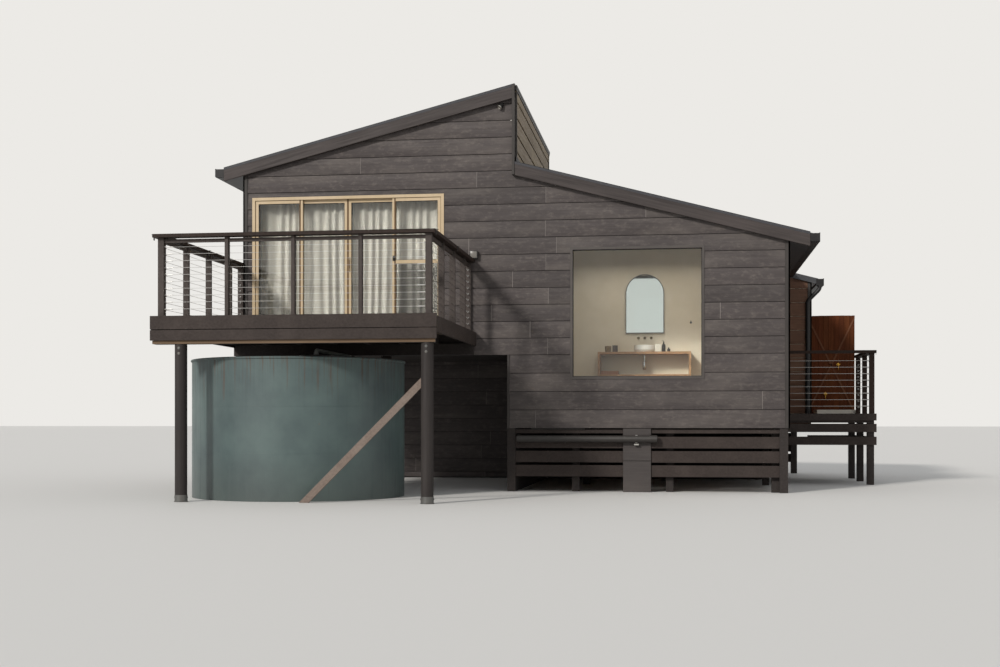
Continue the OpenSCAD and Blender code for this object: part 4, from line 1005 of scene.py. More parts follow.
class BEACHHOUSE_OT_weatherboards(bpy.types.Operator):
    """Lays lapped boards on every wall of the main house and of its rear wing"""
    bl_idname = "beach_house.weatherboards"
    bl_label = "Weatherboards"

    def execute(self, context):
        s = settings()
        cover = s.board_cover
        high_roof, low_roof, wing_roof = map(roof_plane, ("high_roof", "low_roof", "wing_roof"))
        door = (DOOR_LOW.x, DOOR_HIGH.x, DOOR_LOW.z, DOOR_HIGH.z)
        window = (WINDOW_LOW.x, WINDOW_HIGH.x, WINDOW_LOW.z, WINDOW_HIGH.z)
        (left_low, left_high), (right_low, right_high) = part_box("left_wall"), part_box("right_wall")
        floor_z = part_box("upper_floor")[0].z
        step_top = HIGH_ROOF_HIGH.z - s.sheet_edge
        side_window = plain_openings(0, left_low.x, left_high.x)
        side_door = plain_openings(0, right_low.x, right_high.x)
        back_windows = plain_openings(1, BACK_LOW.y + 0.03, BACK)
        wing_windows = plain_openings(1, WING_HIGH.y - 0.1, WING_HIGH.y + 0.03)

        # Butt joints of the front wall, counted from its upper part's lowest course
        joints = {
            0: [0.55], 1: [0.286], 2: [-0.30, 3.1], 3: [0.561], 4: [0.021], 5: [0.5235],
            6: [-0.645, 0.681, 2.849], 7: [0.516], 8: [2.011], 9: [0.5235, 3.3]}
        high_joints = {0: [-0.523], 1: [-2.317]}
        low_joints = {0: [0.368], 1: [3.710], 2: [1.30], 3: [2.35]}
        main = [UPPER_Z + i * cover for i in range(11)]
        top = courses_from(main[-1], HIGH_ROOF_HIGH.z, cover)
        skirt_cover = (UPPER_Z - SKIRT_Z) / 4
        skirt = [SKIRT_Z + i * skirt_cover for i in range(5)]
        left = courses_from(UPPER_Z, left_high.z, cover)
        right = courses_from(SKIRT_Z, right_high.z, cover)
        ground = 0.015  # the lowest boards stay clear of the ground
        back = courses_from(ground, BACK_HIGH.z, cover)
        under = [ground, *courses_from(ground + 0.1, floor_z, 0.25)]
        wing = courses_from(SKIRT_Z, WING_HIGH.z, cover)
        step = courses_from(LOW_ROOF_HIGH.z - 0.2 * cover, step_top, cover)
        dark, brown, khaki = (stain + "_stained_weatherboard" for stain in ("charcoal", "brown", "khaki"))

        # Each piece with its finish, slot and runs of boards; undercroft is what shows under the floor
        walls = (
            ("front", dark, "dark_boards", (
                (-Y, FRONT, (LEFT, RIGHT), main, [door, window], [low_roof], joints, 3),
                (-Y, FRONT, (LEFT, HALF), top, [window], [high_roof], high_joints, 5),
                (-Y, FRONT, (HALF, RIGHT), top[:2], [window], [low_roof], {}, 6),
                (-Y, FRONT, (-HALF, RIGHT), skirt, [window], [], low_joints, 7))),
            ("left", dark, "dark_boards", (
                (-X, LEFT, (FRONT, BACK), left, side_window, [level_plane(left_high.z)], None, 11),)),
            ("right", dark, "dark_boards", (
                (X, RIGHT, (FRONT, BACK), right, side_door, [level_plane(right_high.z)], None, 13),)),
            ("back", dark, "dark_boards", (
                (Y, BACK, (LEFT, -HALF), back, back_windows, [high_roof], None, 17),)),
            ("undercroft", dark, "dark_boards", (
                (-Y, BACK_LOW.y, (LEFT, -HALF), under, [], [level_plane(floor_z)], None, 19),
                (-X, -HALF, (HALF, BACK_LOW.y), under, [], [level_plane(floor_z)], None, 23))),
            ("wing", brown, "brown_boards", (
                (Y, WING_HIGH.y, (-HALF, WING_HIGH.x), wing, wing_windows, [wing_roof], None, 31),
                (X, WING_HIGH.x, (BACK, WING_HIGH.y), wing, [], [wing_roof], None, 37),
                (-X, -HALF, (BACK, WING_HIGH.y), wing, [], [wing_roof], None, 43),
                (-Y, BACK, (RIGHT, WING_HIGH.x), wing, [], [wing_roof], None, 47))),
            ("clerestory", khaki, "khaki_boards", (
                (X, STEP_X, (FRONT, BACK), step, [], [level_plane(step_top)], None, 29),)),
        )
        strips = []
        for name, stain, slot, runs in walls:
            boards = []
            for run in runs:
                more, found = clad(*run)
                boards += more
                # Only the dark boards have strips over their joints
                if stain == dark:
                    strips += found
                else:
                    remove(*found)
            finish_piece(name + "_weatherboards", boards, stain, slot, smooth=25)
        finish_piece("board_joint_strips", strips, "weathered_joint_strip", "dark_boards")
        return {"FINISHED"}


class BEACHHOUSE_OT_trims(bpy.types.Operator):
    """Stands trims over the ends of the boards at the corners and at the roof step"""
    bl_idname = "beach_house.trims"
    bl_label = "Corner trims"

    def execute(self, context):
        s = settings()
        proud = s.board_thick + 0.005
        width = s.trim_width
        top = HIGH_ROOF_HIGH.z
        high, low, wing = map(roof_plane, ("high_roof", "low_roof", "wing_roof"))
        trims = []
        for x, y, sx, sy, z0, roof in (
                (LEFT, FRONT, -1, -1, UPPER_Z, high), (RIGHT, FRONT, 1, -1, SKIRT_Z, low),
                (LEFT, BACK, -1, 1, 0.02, high), (WING_HIGH.x, WING_HIGH.y, 1, 1, SKIRT_Z, wing),
                (-HALF, WING_HIGH.y, -1, 1, SKIRT_Z, wing), (WING_HIGH.x, BACK, 1, -1, SKIRT_Z + 0.25, wing)):
            for end in ((x - sx * width, y), (x, y - sy * width)):
                leg = block("trim", (x + sx * proud, y + sy * proud, z0), (*end, top))
                trims.append(bevel(cut_off(leg, *roof), 0.002, 1, upright))

        # Over the boards' ends at the roof step, the lower wall's end and the far end of the upright wall
        step_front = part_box("barge_boards")[0].y
        step_foot = roof_top("low_roof", HALF) - 0.18
        foot = LOW_ROOF_HIGH.z - 0.02
        for a, b in (
                ((HALF - 0.038, step_front - 0.012, step_foot), (HALF, FRONT - 0.002, top - 0.001)),
                ((-HALF, FRONT - proud, SKIRT_Z), (-HALF + 0.036, FRONT, UPPER_Z)),
                ((HALF, BACK - 0.04, foot), (HALF + proud, BACK + 0.002, top - 0.09)),
                ((HALF, FRONT - 0.002, foot), (HALF + proud, FRONT + 0.04, top - 0.09))):
            trims.append(bevel(block("trim", a, b), 0.002))
        finish_piece("corner_trims", trims, "dark_stained_trim", "trim_boards")
        # One pale screw cap shows high on the front, at the roof step
        screw = disc("screw_cap", (0.0, FRONT - s.board_thick + 0.004, 5.568), -Y, 0.010, 0.004, 16, 0.001)
        finish_piece("screw_cap", [screw], "zinc_plated_screw_cap", "trim_boards", smooth=40)
        return {"FINISHED"}


class BEACHHOUSE_OT_roofing(bpy.types.Operator):
    """Lays corrugated sheets with screws and flashings, and makes capped barge boards"""
    bl_idname = "beach_house.roofing"
    bl_label = "Roofing"

    overhang = 0.04
    barge_run_on = 0.118
    steel_thick = 0.0012
    screw_spacing = 0.9

    def execute(self, context):
        s = settings()
        y0, y1 = HIGH_ROOF_LOW.y, HIGH_ROOF_HIGH.y
        wing_low, wing_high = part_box("wing_roof")
        wing_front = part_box("barge_boards")[1].y
        wing_eave = wing_high.x + self.overhang
        lap = min(v.co.x for v in NODES["wing_roof"].data.vertices if v.co.y < y1)
        steel = "charcoal_corrugated_steel"
        for name, node, *area in (
                ("high_roof_sheets", "high_roof", HIGH_ROOF_LOW.x - self.overhang, STEP_X, y0, y1),
                ("low_roof_sheets", "low_roof", STEP_X, LOW_ROOF_HIGH.x + self.overhang, y0, y1),
                ("wing_roof_sheets", "wing_roof", wing_low.x, wing_eave, wing_front, wing_high.y),
                ("wing_lap_sheets", "wing_roof", lap, wing_eave, wing_low.y, wing_front)):
            finish_piece(name, self.sheets(node, *area), steel, "roof_sheet", smooth=50, fit=True)

        top = roof_top("low_roof", STEP_X)
        flashings = [
            self.flashing("high_roof", STEP_X - 0.14, STEP_X + 0.004, y0, y1),
            self.flashing("low_roof", STEP_X, STEP_X + 0.15, y0, y1),
            block("flashing", (STEP_X + 0.022, y0, top), (STEP_X + 0.026, y1, top + 0.1)),
        ]
        finish_piece("roof_flashings", flashings, steel, "roof_sheet", fit=True)

        # A dark capping that is folded down over the top of the khaki boards
        top, face = HIGH_ROOF_HIGH.z + 0.001, STEP_X + s.board_thick + 0.006
        folds = [bevel(block("fold", a, b), 0.002) for a, b in (
            ((STEP_X + 0.001, y0, top - 0.075), (face, y1, top)),
            ((face, y0, top - 0.040), (face + 0.006, y1, top + 0.004)))]
        finish_piece("step_capping", folds, "dark_roof_capping", "roof_sheet", fit=True)

        # Barge boards with a folded cap, in place of the plain ones
        rng = random.Random(53)
        boards, caps = [], []
        for points in islands("barge_boards"):
            low, high = corners(points)
            ends = [max(p.z for p in points if abs(p.x - x) < 1e-4) for x in (low.x, high.x)]
            depth = ends[0] - min(p.z for p in points if abs(p.x - low.x) < 1e-4)
            rise = (ends[1] - ends[0]) / (high.x - low.x)

            def lean(co, x=low.x, z=ends[0], rise=rise):
                return co + Z * (z + rise * (co.x - x))

            face, inner, out = (low.y, high.y, -1) if low.y < 0 else (high.y, low.y, 1)
            # The lower front board runs on to the eave, over the end of the roof's deck
            end = high.x + (self.barge_run_on if out < 0 and high.x > STEP_X + 0.1 else 0)
            board = block("barge", (low.x, low.y, -depth), (end, high.y, -0.006))
            boards.append(bevel(moved(board, lean), 0.003))
            stamp(board, Vector((1, 0, rise)).normalized(), rng)
            for z, back in ((-0.042, face), (-0.0055, inner)):
                caps.append(moved(block("cap", (low.x, face + out * 0.003, z), (end, back, 0)), lean))
        finish_piece("barges", boards, "charcoal_painted_barge", "trim_boards", ["barge_boards"])
        finish_piece("barge_caps", caps, steel, "roof_sheet", ["barge_boards"])
        return {"FINISHED"}

    def sheets(self, node, x0, x1, y0, y1):
        """Corrugated sheets on a roof plate and rows of screws in their crests, as a list of parts."""
        s = settings()
        ribs = round((y1 - y0) / s.sheet_pitch)
        pitch = (y1 - y0) / ribs
        lone()
        bpy.ops.mesh.primitive_grid_add(
            x_subdivisions=1, y_subdivisions=ribs * 6, size=1, location=((x0 + x1) / 2, (y0 + y1) / 2, 0))
        bpy.context.object.scale = (x1 - x0, y1 - y0, 1)
        sheet = made("sheet")

        def wave(co):
            crest = 0.5 - 0.5 * math.cos(2 * math.pi * (co.y - y0) / pitch)
            return Vector((co.x, co.y, roof_top(node, co.x) + 0.0015 + s.sheet_depth * crest))

        parts = [thickened(moved(sheet, wave), self.steel_thick, -1)]
        slope = (roof_top(node, x1) - roof_top(node, x0)) / (x1 - x0)
        screw = join("screw", [rod("washer", (0, 0, 0), (0, 0, 0.0015), 0.009, 8),
                               rod("head", (0, 0, 0.001), (0, 0, 0.0024), 0.006, 6)])
        moved(screw, lambda co: co + Z * slope * co.x)
        rows = max(2, round((x1 - x0) / self.screw_spacing))
        inset = 0.12
        for row in range(rows):
            x = x0 + inset + (x1 - x0 - 2 * inset) * row / (rows - 1)
            for rib in range(1, ribs - 1, 3):
                place = (x, y0 + (rib + 0.5) * pitch, roof_top(node, x) + s.sheet_depth + 0.001)
                parts.append(placed_copy(screw, Matrix.Translation(place)))
        remove(screw)
        return parts

    def flashing(self, node, x0, x1, y0, y1):
        """A flat strip of sheet that lies over a roof's crests."""
        foot = settings().sheet_depth + 0.0026
        strip = block("flashing", (x0, y0, foot), (x1, y1, foot + self.steel_thick))
        return moved(strip, lambda co: co + Z * roof_top(node, co.x))


class BEACHHOUSE_OT_rainwater(bpy.types.Operator):
    """Makes round downpipes with bends and straps, and brackets along the gutters"""
    bl_idname = "beach_house.rainwater"
    bl_label = "Rainwater pipes"

    pipe_radius = 0.0365
    bend_radius = 0.055
    bracket_spacing = 0.9

    def execute(self, context):
        parts = []
        for points in islands("downpipes"):
            ends = []
            for z in (max(p.z for p in points), min(p.z for p in points)):
                ring_points = [p for p in points if abs(p.z - z) < 1e-4]
                ends.append(sum(ring_points, Vector()) / len(ring_points))
            start, foot = ends
            first = start - Z * 0.06
            second = Vector((foot.x, start.y, first.z - abs(foot.x - start.x)))
            parts.append(pipe_run("downpipe", [start, first, second, foot],
                                  self.pipe_radius, self.bend_radius))
            parts.append(disc("outlet", start - Z * 0.03, Z, 0.044, 0.03))
            to_wall, side = (X, Y) if foot.x < 0 else (Y, X)
            for share in (0.25, 0.72):
                centre = Vector((foot.x, foot.y, foot.z + (second.z - foot.z) * share))
                parts.append(rod("strap", centre - Z * 0.014, centre + Z * 0.014,
                                 self.pipe_radius + 0.002, 24))
                parts.append(block("strap", centre + to_wall * 0.0276 - side * 0.05 - Z * 0.014,
                                   centre + to_wall * 0.0368 + side * 0.05 + Z * 0.014))
        finish_piece("round_downpipes", parts, "dark_downpipe_steel", "dark_pipe", ["downpipes"], 40)

        brackets = []
        for low, high in solids("gutters"):
            outer, out = (low.x, -1) if high.x < 0 else (high.x, 1)
            count = max(2, round((high.y - low.y) / self.bracket_spacing))
            for i in range(count):
                y = low.y + 0.06 + (high.y - low.y - 0.12) * i / (count - 1)
                brackets.append(block("bracket", (low.x, y - 0.012, low.z - 0.003),
                                      (high.x, y + 0.012, low.z)))
                brackets.append(block("bracket", (outer, y - 0.012, low.z - 0.003),
                                      (outer + out * 0.003, y + 0.012, high.z - 0.02)))
            bead_x = outer - out * 0.006
            brackets.append(rod("bead", (bead_x, low.y, high.z), (bead_x, high.y, high.z), 0.008, 10))
        finish_piece("gutter_brackets", brackets, "dark_downpipe_steel", "dark_pipe", smooth=40, fit=True)
        return {"FINISHED"}


class BEACHHOUSE_OT_decking(bpy.types.Operator):
    """Lays deck boards with gaps and joints on the balcony and the side deck"""
    bl_idname = "beach_house.decking"
    bl_label = "Decking"

    def execute(self, context):
        rng = random.Random(41)
        low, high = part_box("balcony_deck")
        boards = self.lay(low, high, 0, rng)
        finish_piece("balcony_deck_boards", boards, "weathered_deck_board", "deck_timber", ["balcony_deck"])
        low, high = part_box("side_deck")
        boards = self.lay(low, Vector((WING_HIGH.x, BACK, high.z)), 1, rng)
        boards += self.lay(Vector((WING_HIGH.x, low.y, low.z)), high, 1, rng)
        finish_piece("side_deck_boards", boards, "weathered_deck_board", "deck_timber", ["side_deck"])
        return {"FINISHED"}

    def lay(self, low, high, axis, rng):
        """Boards along X (axis 0) or Y (axis 1) that fill the area between two corners."""
        s = settings()
        along, back = (X, Y) if axis == 0 else (Y, X)
        thick = high.z - low.z
        span = high[1 - axis] - low[1 - axis]
        count = round((span + s.deck_gap) / (s.deck_board + s.deck_gap))
        width = (span + s.deck_gap) / count - s.deck_gap
        board = block("deck_board", (0, 0, 0), (1, width, thick))
        bevel(board, 0.003, 1, lambda e: all(v.co.z > thick / 2 for v in e.verts)
              and abs(e.verts[0].co.x - e.verts[1].co.x) > 0.5)
        boards = []
        for i in range(count):
            start = low[1 - axis] + i * (width + s.deck_gap)
            # Each row has one joint, at one of four places along it
            joint = low[axis] + (high[axis] - low[axis]) * rng.choice((0.28, 0.43, 0.57, 0.71))
            for a, b in ((low[axis], joint - 0.001), (joint + 0.001, high[axis])):
                piece = laid(board, along * a + back * start + Z * low.z, along, back, b - a)
                stamp(piece, along, rng)
                boards.append(piece)
        remove(board)
        return boards


class BEACHHOUSE_OT_curtains(bpy.types.Operator):
    """Hangs two gathered sheer curtains from their track behind the sliding door"""
    bl_idname = "beach_house.curtains"
    bl_label = "Curtains"

    flat_width = 1.69
    frames = 24
    most_moved = 0.02

    def execute(self, context):
        low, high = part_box("curtains")
        feet = [v.co for v in NODES["curtains"].data.vertices if v.co.z < low.z + 0.001]
        x0, x1, x2, x3 = sorted({round(co.x, 4) for co in feet})
        y0, y1 = min(co.y for co in feet), max(co.y for co in feet)
        track_z = high.z - 0.03
        rail = bevel(block("curtain_track", (low.x, y0, track_z), high), 0.004, 2)
        stops = [disc("stop", (x, (y0 + y1) / 2, track_z + 0.014), X, 0.014, 0.012, 16)
                 for x in (low.x, high.x - 0.012)]
        track = finish_piece("curtain_track", [rail, *stops], "white_powder_coated_track", "curtain_cloth",
                             ["curtains"], 40)
        for number, (a, b) in enumerate(((x0, x1), (x2, x3)), 1):
            foot, head = Vector((a, y0, low.z)), Vector((b, y1, track_z))
            curtain = self.hang(foot, head, number)
            finish_piece(f"curtain_{number}", [curtain], "sheer_woven_polyester", "curtain_cloth",
                         ["curtains"], 80)
        return {"FINISHED"}

    def hang(self, low, high, number):
        """One curtain with folds, let go to hang from its top edge."""
        rng = random.Random(59 + number)
        folds = round((high.x - low.x) / settings().curtain_fold)
        drop = high.z - low.z
        shifts = [rng.uniform(0, 2 * math.pi) for _ in range(4)]
        lone()
        bpy.ops.mesh.primitive_grid_add(x_subdivisions=folds * 12, y_subdivisions=36, size=1)
        cloth = made("curtain")

        def fold(co):
            across, up = co.x + 0.5, co.y + 0.5
            turn = folds * across + 0.32 * math.sin(4 * math.pi * across + shifts[0])
            turn += 0.10 * math.sin(2.4 * (1 - up) + shifts[1] + 5 * across)
            swell = 0.72 + 0.28 * math.sin(7 * across + shifts[2]) * (1 - up) + 0.15 * (1 - up)
            depth = (high.y - low.y) / 2 * min(1.0, swell) * 0.86
            sway = 0.004 * (1 - up) * math.sin(9 * across + shifts[3])
            edge = math.sin(math.pi * across) ** 0.25
            return Vector((low.x + 0.004 + (high.x - low.x - 0.008) * across + sway * edge,
                           (low.y + high.y) / 2 + depth * math.sin(2 * math.pi * turn),
                           low.z + 0.01 + (drop - 0.01) * up))

        for loop in cloth.data.uv_layers[0].data:
            loop.uv = (loop.uv[0] * self.flat_width, loop.uv[1] * drop)
        moved(cloth, fold)
        self.let_hang(cloth, low, high)
        return thickened(cloth, 0.001, 0)

    def let_hang(self, cloth, low, high):
        """Simulates the cloth for a second, held at its top edge, and keeps it near its start."""
        start = [v.co.copy() for v in cloth.data.vertices]
        held = cloth.vertex_groups.new(name="held")
        held.add([i for i, co in enumerate(start) if co.z > high.z - 0.004], 1.0, "ADD")
        modifier = cloth.modifiers.new("cloth", "CLOTH")
        for key, value in {
                "vertex_group_mass": "held", "quality": 5, "mass": 0.12, "tension_stiffness": 30,
                "compression_stiffness": 30, "shear_stiffness": 8, "bending_stiffness": 0.6,
                "air_damping": 4}.items():
            setattr(modifier.settings, key, value)
        modifier.collision_settings.use_collision = False
        modifier.point_cache.frame_end = self.frames
        for number in range(self.frames):
            bpy.context.scene.frame_set(number + 1)
        apply_modifiers(cloth)
        bpy.context.scene.frame_set(1)
        cloth.vertex_groups.clear()
        for vertex, before in zip(cloth.data.vertices, start):
            change = vertex.co - before
            if change.length > self.most_moved:
                vertex.co = before + change.normalized() * self.most_moved
            vertex.co.y = max(low.y, min(high.y, vertex.co.y))
            vertex.co.z = max(low.z, vertex.co.z)


class BEACHHOUSE_OT_openings(bpy.types.Operator):
    """Adds handles, an insect screen, brown seal strips that are partly painted shadow lines, sills and
    glazing beads to the doors and windows
    """
    bl_idname = "beach_house.openings"
    bl_label = "Doors and windows"

    def execute(self, context):
        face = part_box("sliding_door_sashes")[0].y
        width = DOOR_HIGH.x - DOOR_LOW.x
        for name, x, y, z, half, tall, paint in (
                ("latch_handle", DOOR_LOW.x + width * 0.742, face, 3.53, 0.018, 0.04, "black_nylon_handle"),
                ("pull_handle", DOOR_LOW.x + width * 0.510, face + 0.04, 3.45, 0.007, 0.11,
                 "bronze_coated_pull")):
            plate = bevel(block("plate", (x - half, y - 0.005, z - tall), (x + half, y, z + tall)), 0.002, 2)
            foot, head = z - tall * 0.6, z + tall * 0.6
            grip = pipe_run("grip", [(x, y, foot), (x, y - 0.04, foot), (x, y - 0.04, head), (x, y, head)],
                            half * 0.45, 0.012, 12)
            finish_piece(name, [plate, grip], paint, "black_taps", smooth=40)

        low, high = max(solids("sliding_door_glass"), key=lambda box: box[1].x)
        screen = block("insect_screen", (low.x + 0.001, face + 0.004, low.z + 0.001),
                       (high.x - 0.001, face + 0.005, high.z - 0.001))
        finish_piece("insect_screen", [screen], "woven_fibreglass_insect_mesh", "window_glass")

        # Brown strips between the frame and the sashes, as (x0, x1, z0, sash): a pile seal where members meet,
        # widened into painted shadow where the recessed sashes lie in the frame's and each other's shade
        left, centre, right = sorted(solids("sliding_door_sashes"), key=lambda box: box[0].x)
        middle = (DOOR_LOW.x + DOOR_HIGH.x) / 2
        lines = [(middle - 0.013, middle + 0.013, centre[0].z, centre)]
        for sash, inner, outer in ((left, left[1].x - 0.052, left[0].x),
                                   (right, right[0].x + 0.032, right[1].x - 0.008)):
            low, high = sash
            lines += [(inner, inner + 0.020, low.z, sash), (outer, outer + 0.008, low.z, sash),
                      (low.x, high.x, high.z - 0.008, sash)]
        seal_shadow_strips = [block("seal", (a, low.y - 0.0015, z), (b, low.y, high.z)) for a, b, z, (low, high) in lines]
        finish_piece("door_pile_seals", seal_shadow_strips, "brown_pile_seal", "cream_frames")

        trims = []
        for low, high in solids("plain_window_frames"):
            side = 0 if high.x - low.x < high.y - low.y else 1
            # Frames across Y stand in the house's back and the wing's, all past Y 1
            out = 1 if (low[side] + high[side]) / 2 > (1.0 if side else 0.0) else -1
            face = high[side] if out > 0 else low[side]
            a, b = low.copy(), high.copy()
            a[side], b[side] = face - out * 0.03, face + out * 0.018
            a[1 - side] -= 0.03
            b[1 - side] += 0.03
            a.z, b.z = low.z - 0.022, low.z
            trims.append(bevel(block("sill", a, b), 0.003, 2))
            a.z, b.z = high.z, high.z + 0.006
            trims.append(block("head", a, b))
        sill = block("sill", (DOOR_LOW.x - 0.02, DOOR_LOW.y - 0.02, DOOR_LOW.z),
                     (DOOR_HIGH.x + 0.02, DOOR_LOW.y + 0.012, DOOR_LOW.z + 0.02))
        trims.append(bevel(sill, 0.003, 2))
        finish_piece("window_sills", trims, "cream_coated_sill", "cream_frames", smooth=40)

        beads = []
        for node, wide in (("sliding_door_glass", 0.006), ("picture_window_glass", 0.01),
                           ("plain_window_glass", 0.008)):
            for low, high in solids(node):
                beads += self.bead(low, high, wide)
        finish_piece("glazing_beads", beads, "black_glazing_rubber", "cream_frames")
        return {"FINISHED"}

    def bead(self, low, high, wide):
        """Four strips round a pane, proud of both of its faces."""
        side = 0 if high.x - low.x < high.y - low.y else 1
        a, b = low.copy(), high.copy()
        a[side] -= 0.003
        b[side] += 0.003
        strips = []
        for edge in (2, 1 - side):
            for at_low in (True, False):
                p, q = a.copy(), b.copy()
                if at_low:
                    q[edge] = a[edge] + wide
                else:
                    p[edge] = b[edge] - wide
                if edge != 2:
                    p.z += wide
                    q.z -= wide
                strips.append(block("bead", p, q))
        return strips


class BEACHHOUSE_OT_bathroom(bpy.types.Operator):
    """Makes the taps, the mirror's frame, the trap and the small things on the vanity"""
    bl_idname = "beach_house.bathroom"
    bl_label = "Bathroom"

    def execute(self, context):
        low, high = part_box("vanity")
        wall, top = high.y, high.z
        mid, y, _ = (low + high) / 2
        tap_low, tap_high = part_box("wall_taps")
        z = (tap_low.z + tap_high.z) / 2
        pitch = tap_high.x - 0.023 - mid
        taps = []
        for x in (mid - pitch, mid + pitch):
            taps += [
                disc("plate", (x, wall, z), -Y, 0.023, 0.009, 24, 0.003),
                disc("spindle", (x, wall, z), -Y, 0.011, 0.05, 16),
                disc("head", (x, wall - 0.035, z), -Y, 0.016, 0.025, 20, 0.003),
                rod("lever", (x - 0.026, wall - 0.052, z), (x + 0.026, wall - 0.052, z), 0.0045, 10)]
        taps.append(disc("plate", (mid, wall, z), -Y, 0.023, 0.009, 24, 0.003))
        lip = wall - 0.178
        taps.append(pipe_run("spout", [(mid, wall, z), (mid, lip, z), (mid, lip, z - 0.028)],
                             0.0105, 0.018, 16))
        finish_piece("wall_tap_set", taps, "brushed_dark_bronze", "black_taps", ["wall_taps"], 40)

        a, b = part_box("mirror")
        radius = (b.x - a.x) / 2
        spring = b.z - radius
        arch = [Vector((a.x + radius - radius * math.cos(turn), 0, spring + radius * math.sin(turn)))
                for turn in [math.pi * i / 24 for i in range(25)]]
        edge = self.band([Vector((a.x, 0, a.z)), *arch, Vector((b.x, 0, a.z))], a.y - 0.006, b.y, 0.010)
        sill = block("sill", (a.x, a.y - 0.006, a.z), (b.x, b.y, a.z + 0.010))
        finish_piece("mirror_frame", [edge, sill], "black_steel_frame", "black_taps")

        under = top - 0.036
        trap = [
            rod("tail", (mid, y, under), (mid, y, under - 0.12), 0.016, 20),
            turned("bottle_trap", (mid, y, under - 0.25), [
                (0, 0), (0.022, 0.004), (0.031, 0.018), (0.031, 0.115), (0.024, 0.135), (0, 0.135)]),
            rod("outlet", (mid, y, under - 0.16), (mid, wall - 0.036, under - 0.16), 0.014, 16),
            disc("cover", (mid, wall - 0.037, under - 0.16), -Y, 0.028, 0.006, 24, 0.002),
        ]
        finish_piece("basin_trap", trap, "chromed_brass", "black_taps", smooth=40)
        waste = disc("basin_waste", (mid, y, top + 0.012), Z, 0.022, 0.004, 24, 0.001)
        finish_piece("basin_waste", [waste], "glazed_basin_waste", "white_ceramic", smooth=40)

        # What stands on the vanity, from right to left
        bottles = [
            turned("bottle", (mid + 0.308, y, top), [
                (0, 0), (0.028, 0.001), (0.031, 0.006), (0.031, 0.105), (0.026, 0.122), (0.011, 0.132),
                (0.011, 0.15), (0.014, 0.15), (0.014, 0.162), (0.004, 0.166), (0.004, 0.185), (0, 0.185)]),
            rod("pump", (mid + 0.308, y, top + 0.183), (mid + 0.276, y, top + 0.180), 0.004, 10),
            turned("small_bottle", (mid + 0.39, y, top), [
                (0, 0), (0.021, 0.001), (0.024, 0.005), (0.024, 0.05), (0.010, 0.058), (0.010, 0.075),
                (0, 0.075)]),
        ]
        finish_piece("bottles", bottles, "brown_bottle_glass", "black_taps", smooth=40)
        tumbler = block("soap_box", (mid + 0.17, y - 0.05, top), (mid + 0.27, y + 0.05, top + 0.125))
        finish_piece("soap_box", [bevel(tumbler, 0.008, 3)], "pale_glazed_tumbler", "white_ceramic",
                     smooth=40)
        box = bevel(block("box", (mid - 0.515, y - 0.06, top), (mid - 0.435, y + 0.06, top + 0.10)), 0.004, 2)
        lid = block("lid", (mid - 0.518, y - 0.063, top + 0.10), (mid - 0.432, y + 0.063, top + 0.112))
        finish_piece("dark_box", [box, bevel(lid, 0.003, 2)], "dark_walnut_box", "oak")
        basket = turned("basket", (mid - 0.59, y, top), [
            (0, 0), (0.044, 0), (0.050, 0.05), (0.052, 0.10), (0.049, 0.103), (0.046, 0.10), (0.043, 0.02),
            (0, 0.015)])
        finish_piece("basket", [basket], "woven_seagrass", "oak", smooth=40)

        # A crate on the vanity's shelf: two rows of slats round a floor
        x0, x1 = low.x + 0.045, low.x + 0.33
        y0, y1, z0 = low.y + 0.05, high.y - 0.1, low.z + 0.036
        slats = [block("slat", (x0, y0, z0), (x1, y1, z0 + 0.006))]
        for z in (z0, z0 + 0.031):
            slats += [block("slat", (x0, y, z), (x1, y + 0.008, z + 0.026)) for y in (y0, y1 - 0.008)]
            slats += [block("slat", (x, y0, z), (x + 0.008, y1, z + 0.026)) for x in (x0, x1 - 0.008)]
        finish_piece("crate", slats, "pine_crate_slat", "oak")

        # A hook on the wall, to the right of the mirror
        at = Vector((mid + 0.746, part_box("bathroom_wall")[0].y, 2.66))
        hook = [disc("hook", at, -Y, 0.018, 0.006, 20, 0.002),
                pipe_run("hook", [at, at - Y * 0.05, at - Y * 0.05 + Z * 0.03], 0.006, 0.015, 12)]
        finish_piece("wall_hook", hook, "black_steel_frame", "black_taps", smooth=40)
        return {"FINISHED"}

    def band(self, path, y0, y1, wide):
        """A band of a given width on the inner side of an open path in the XZ plane, from y0 to y1."""
        centre = sum(path, Vector()) / len(path)
        inner = []
        for i, point in enumerate(path):
            run = (path[min(len(path) - 1, i + 1)] - path[max(0, i - 1)]).normalized()
            inward = Vector((run.z, 0, -run.x))
            if (centre - point).dot(inward) < 0:
                inward.negate()
            inner.append(point + inward * wide)
        count = len(path)
        points = [Vector((p.x, y, p.z)) for y in (y0, y1) for p in path + inner]
        faces = [(i, count + i, 3 * count + i, 2 * count + i) for i in (0, count - 1)]
        for i in range(count - 1):
            faces += [(i, i + 1, count + i + 1, count + i),
                      (2 * count + i + 1, 2 * count + i, 3 * count + i, 3 * count + i + 1),
                      (i + 1, i, 2 * count + i, 2 * count + i + 1),
                      (count + i, count + i + 1, 3 * count + i + 1, 3 * count + i)]
        mesh = bpy.data.meshes.new("band")
        mesh.from_pydata(points, [], faces)
        return outward(linked("band", mesh))


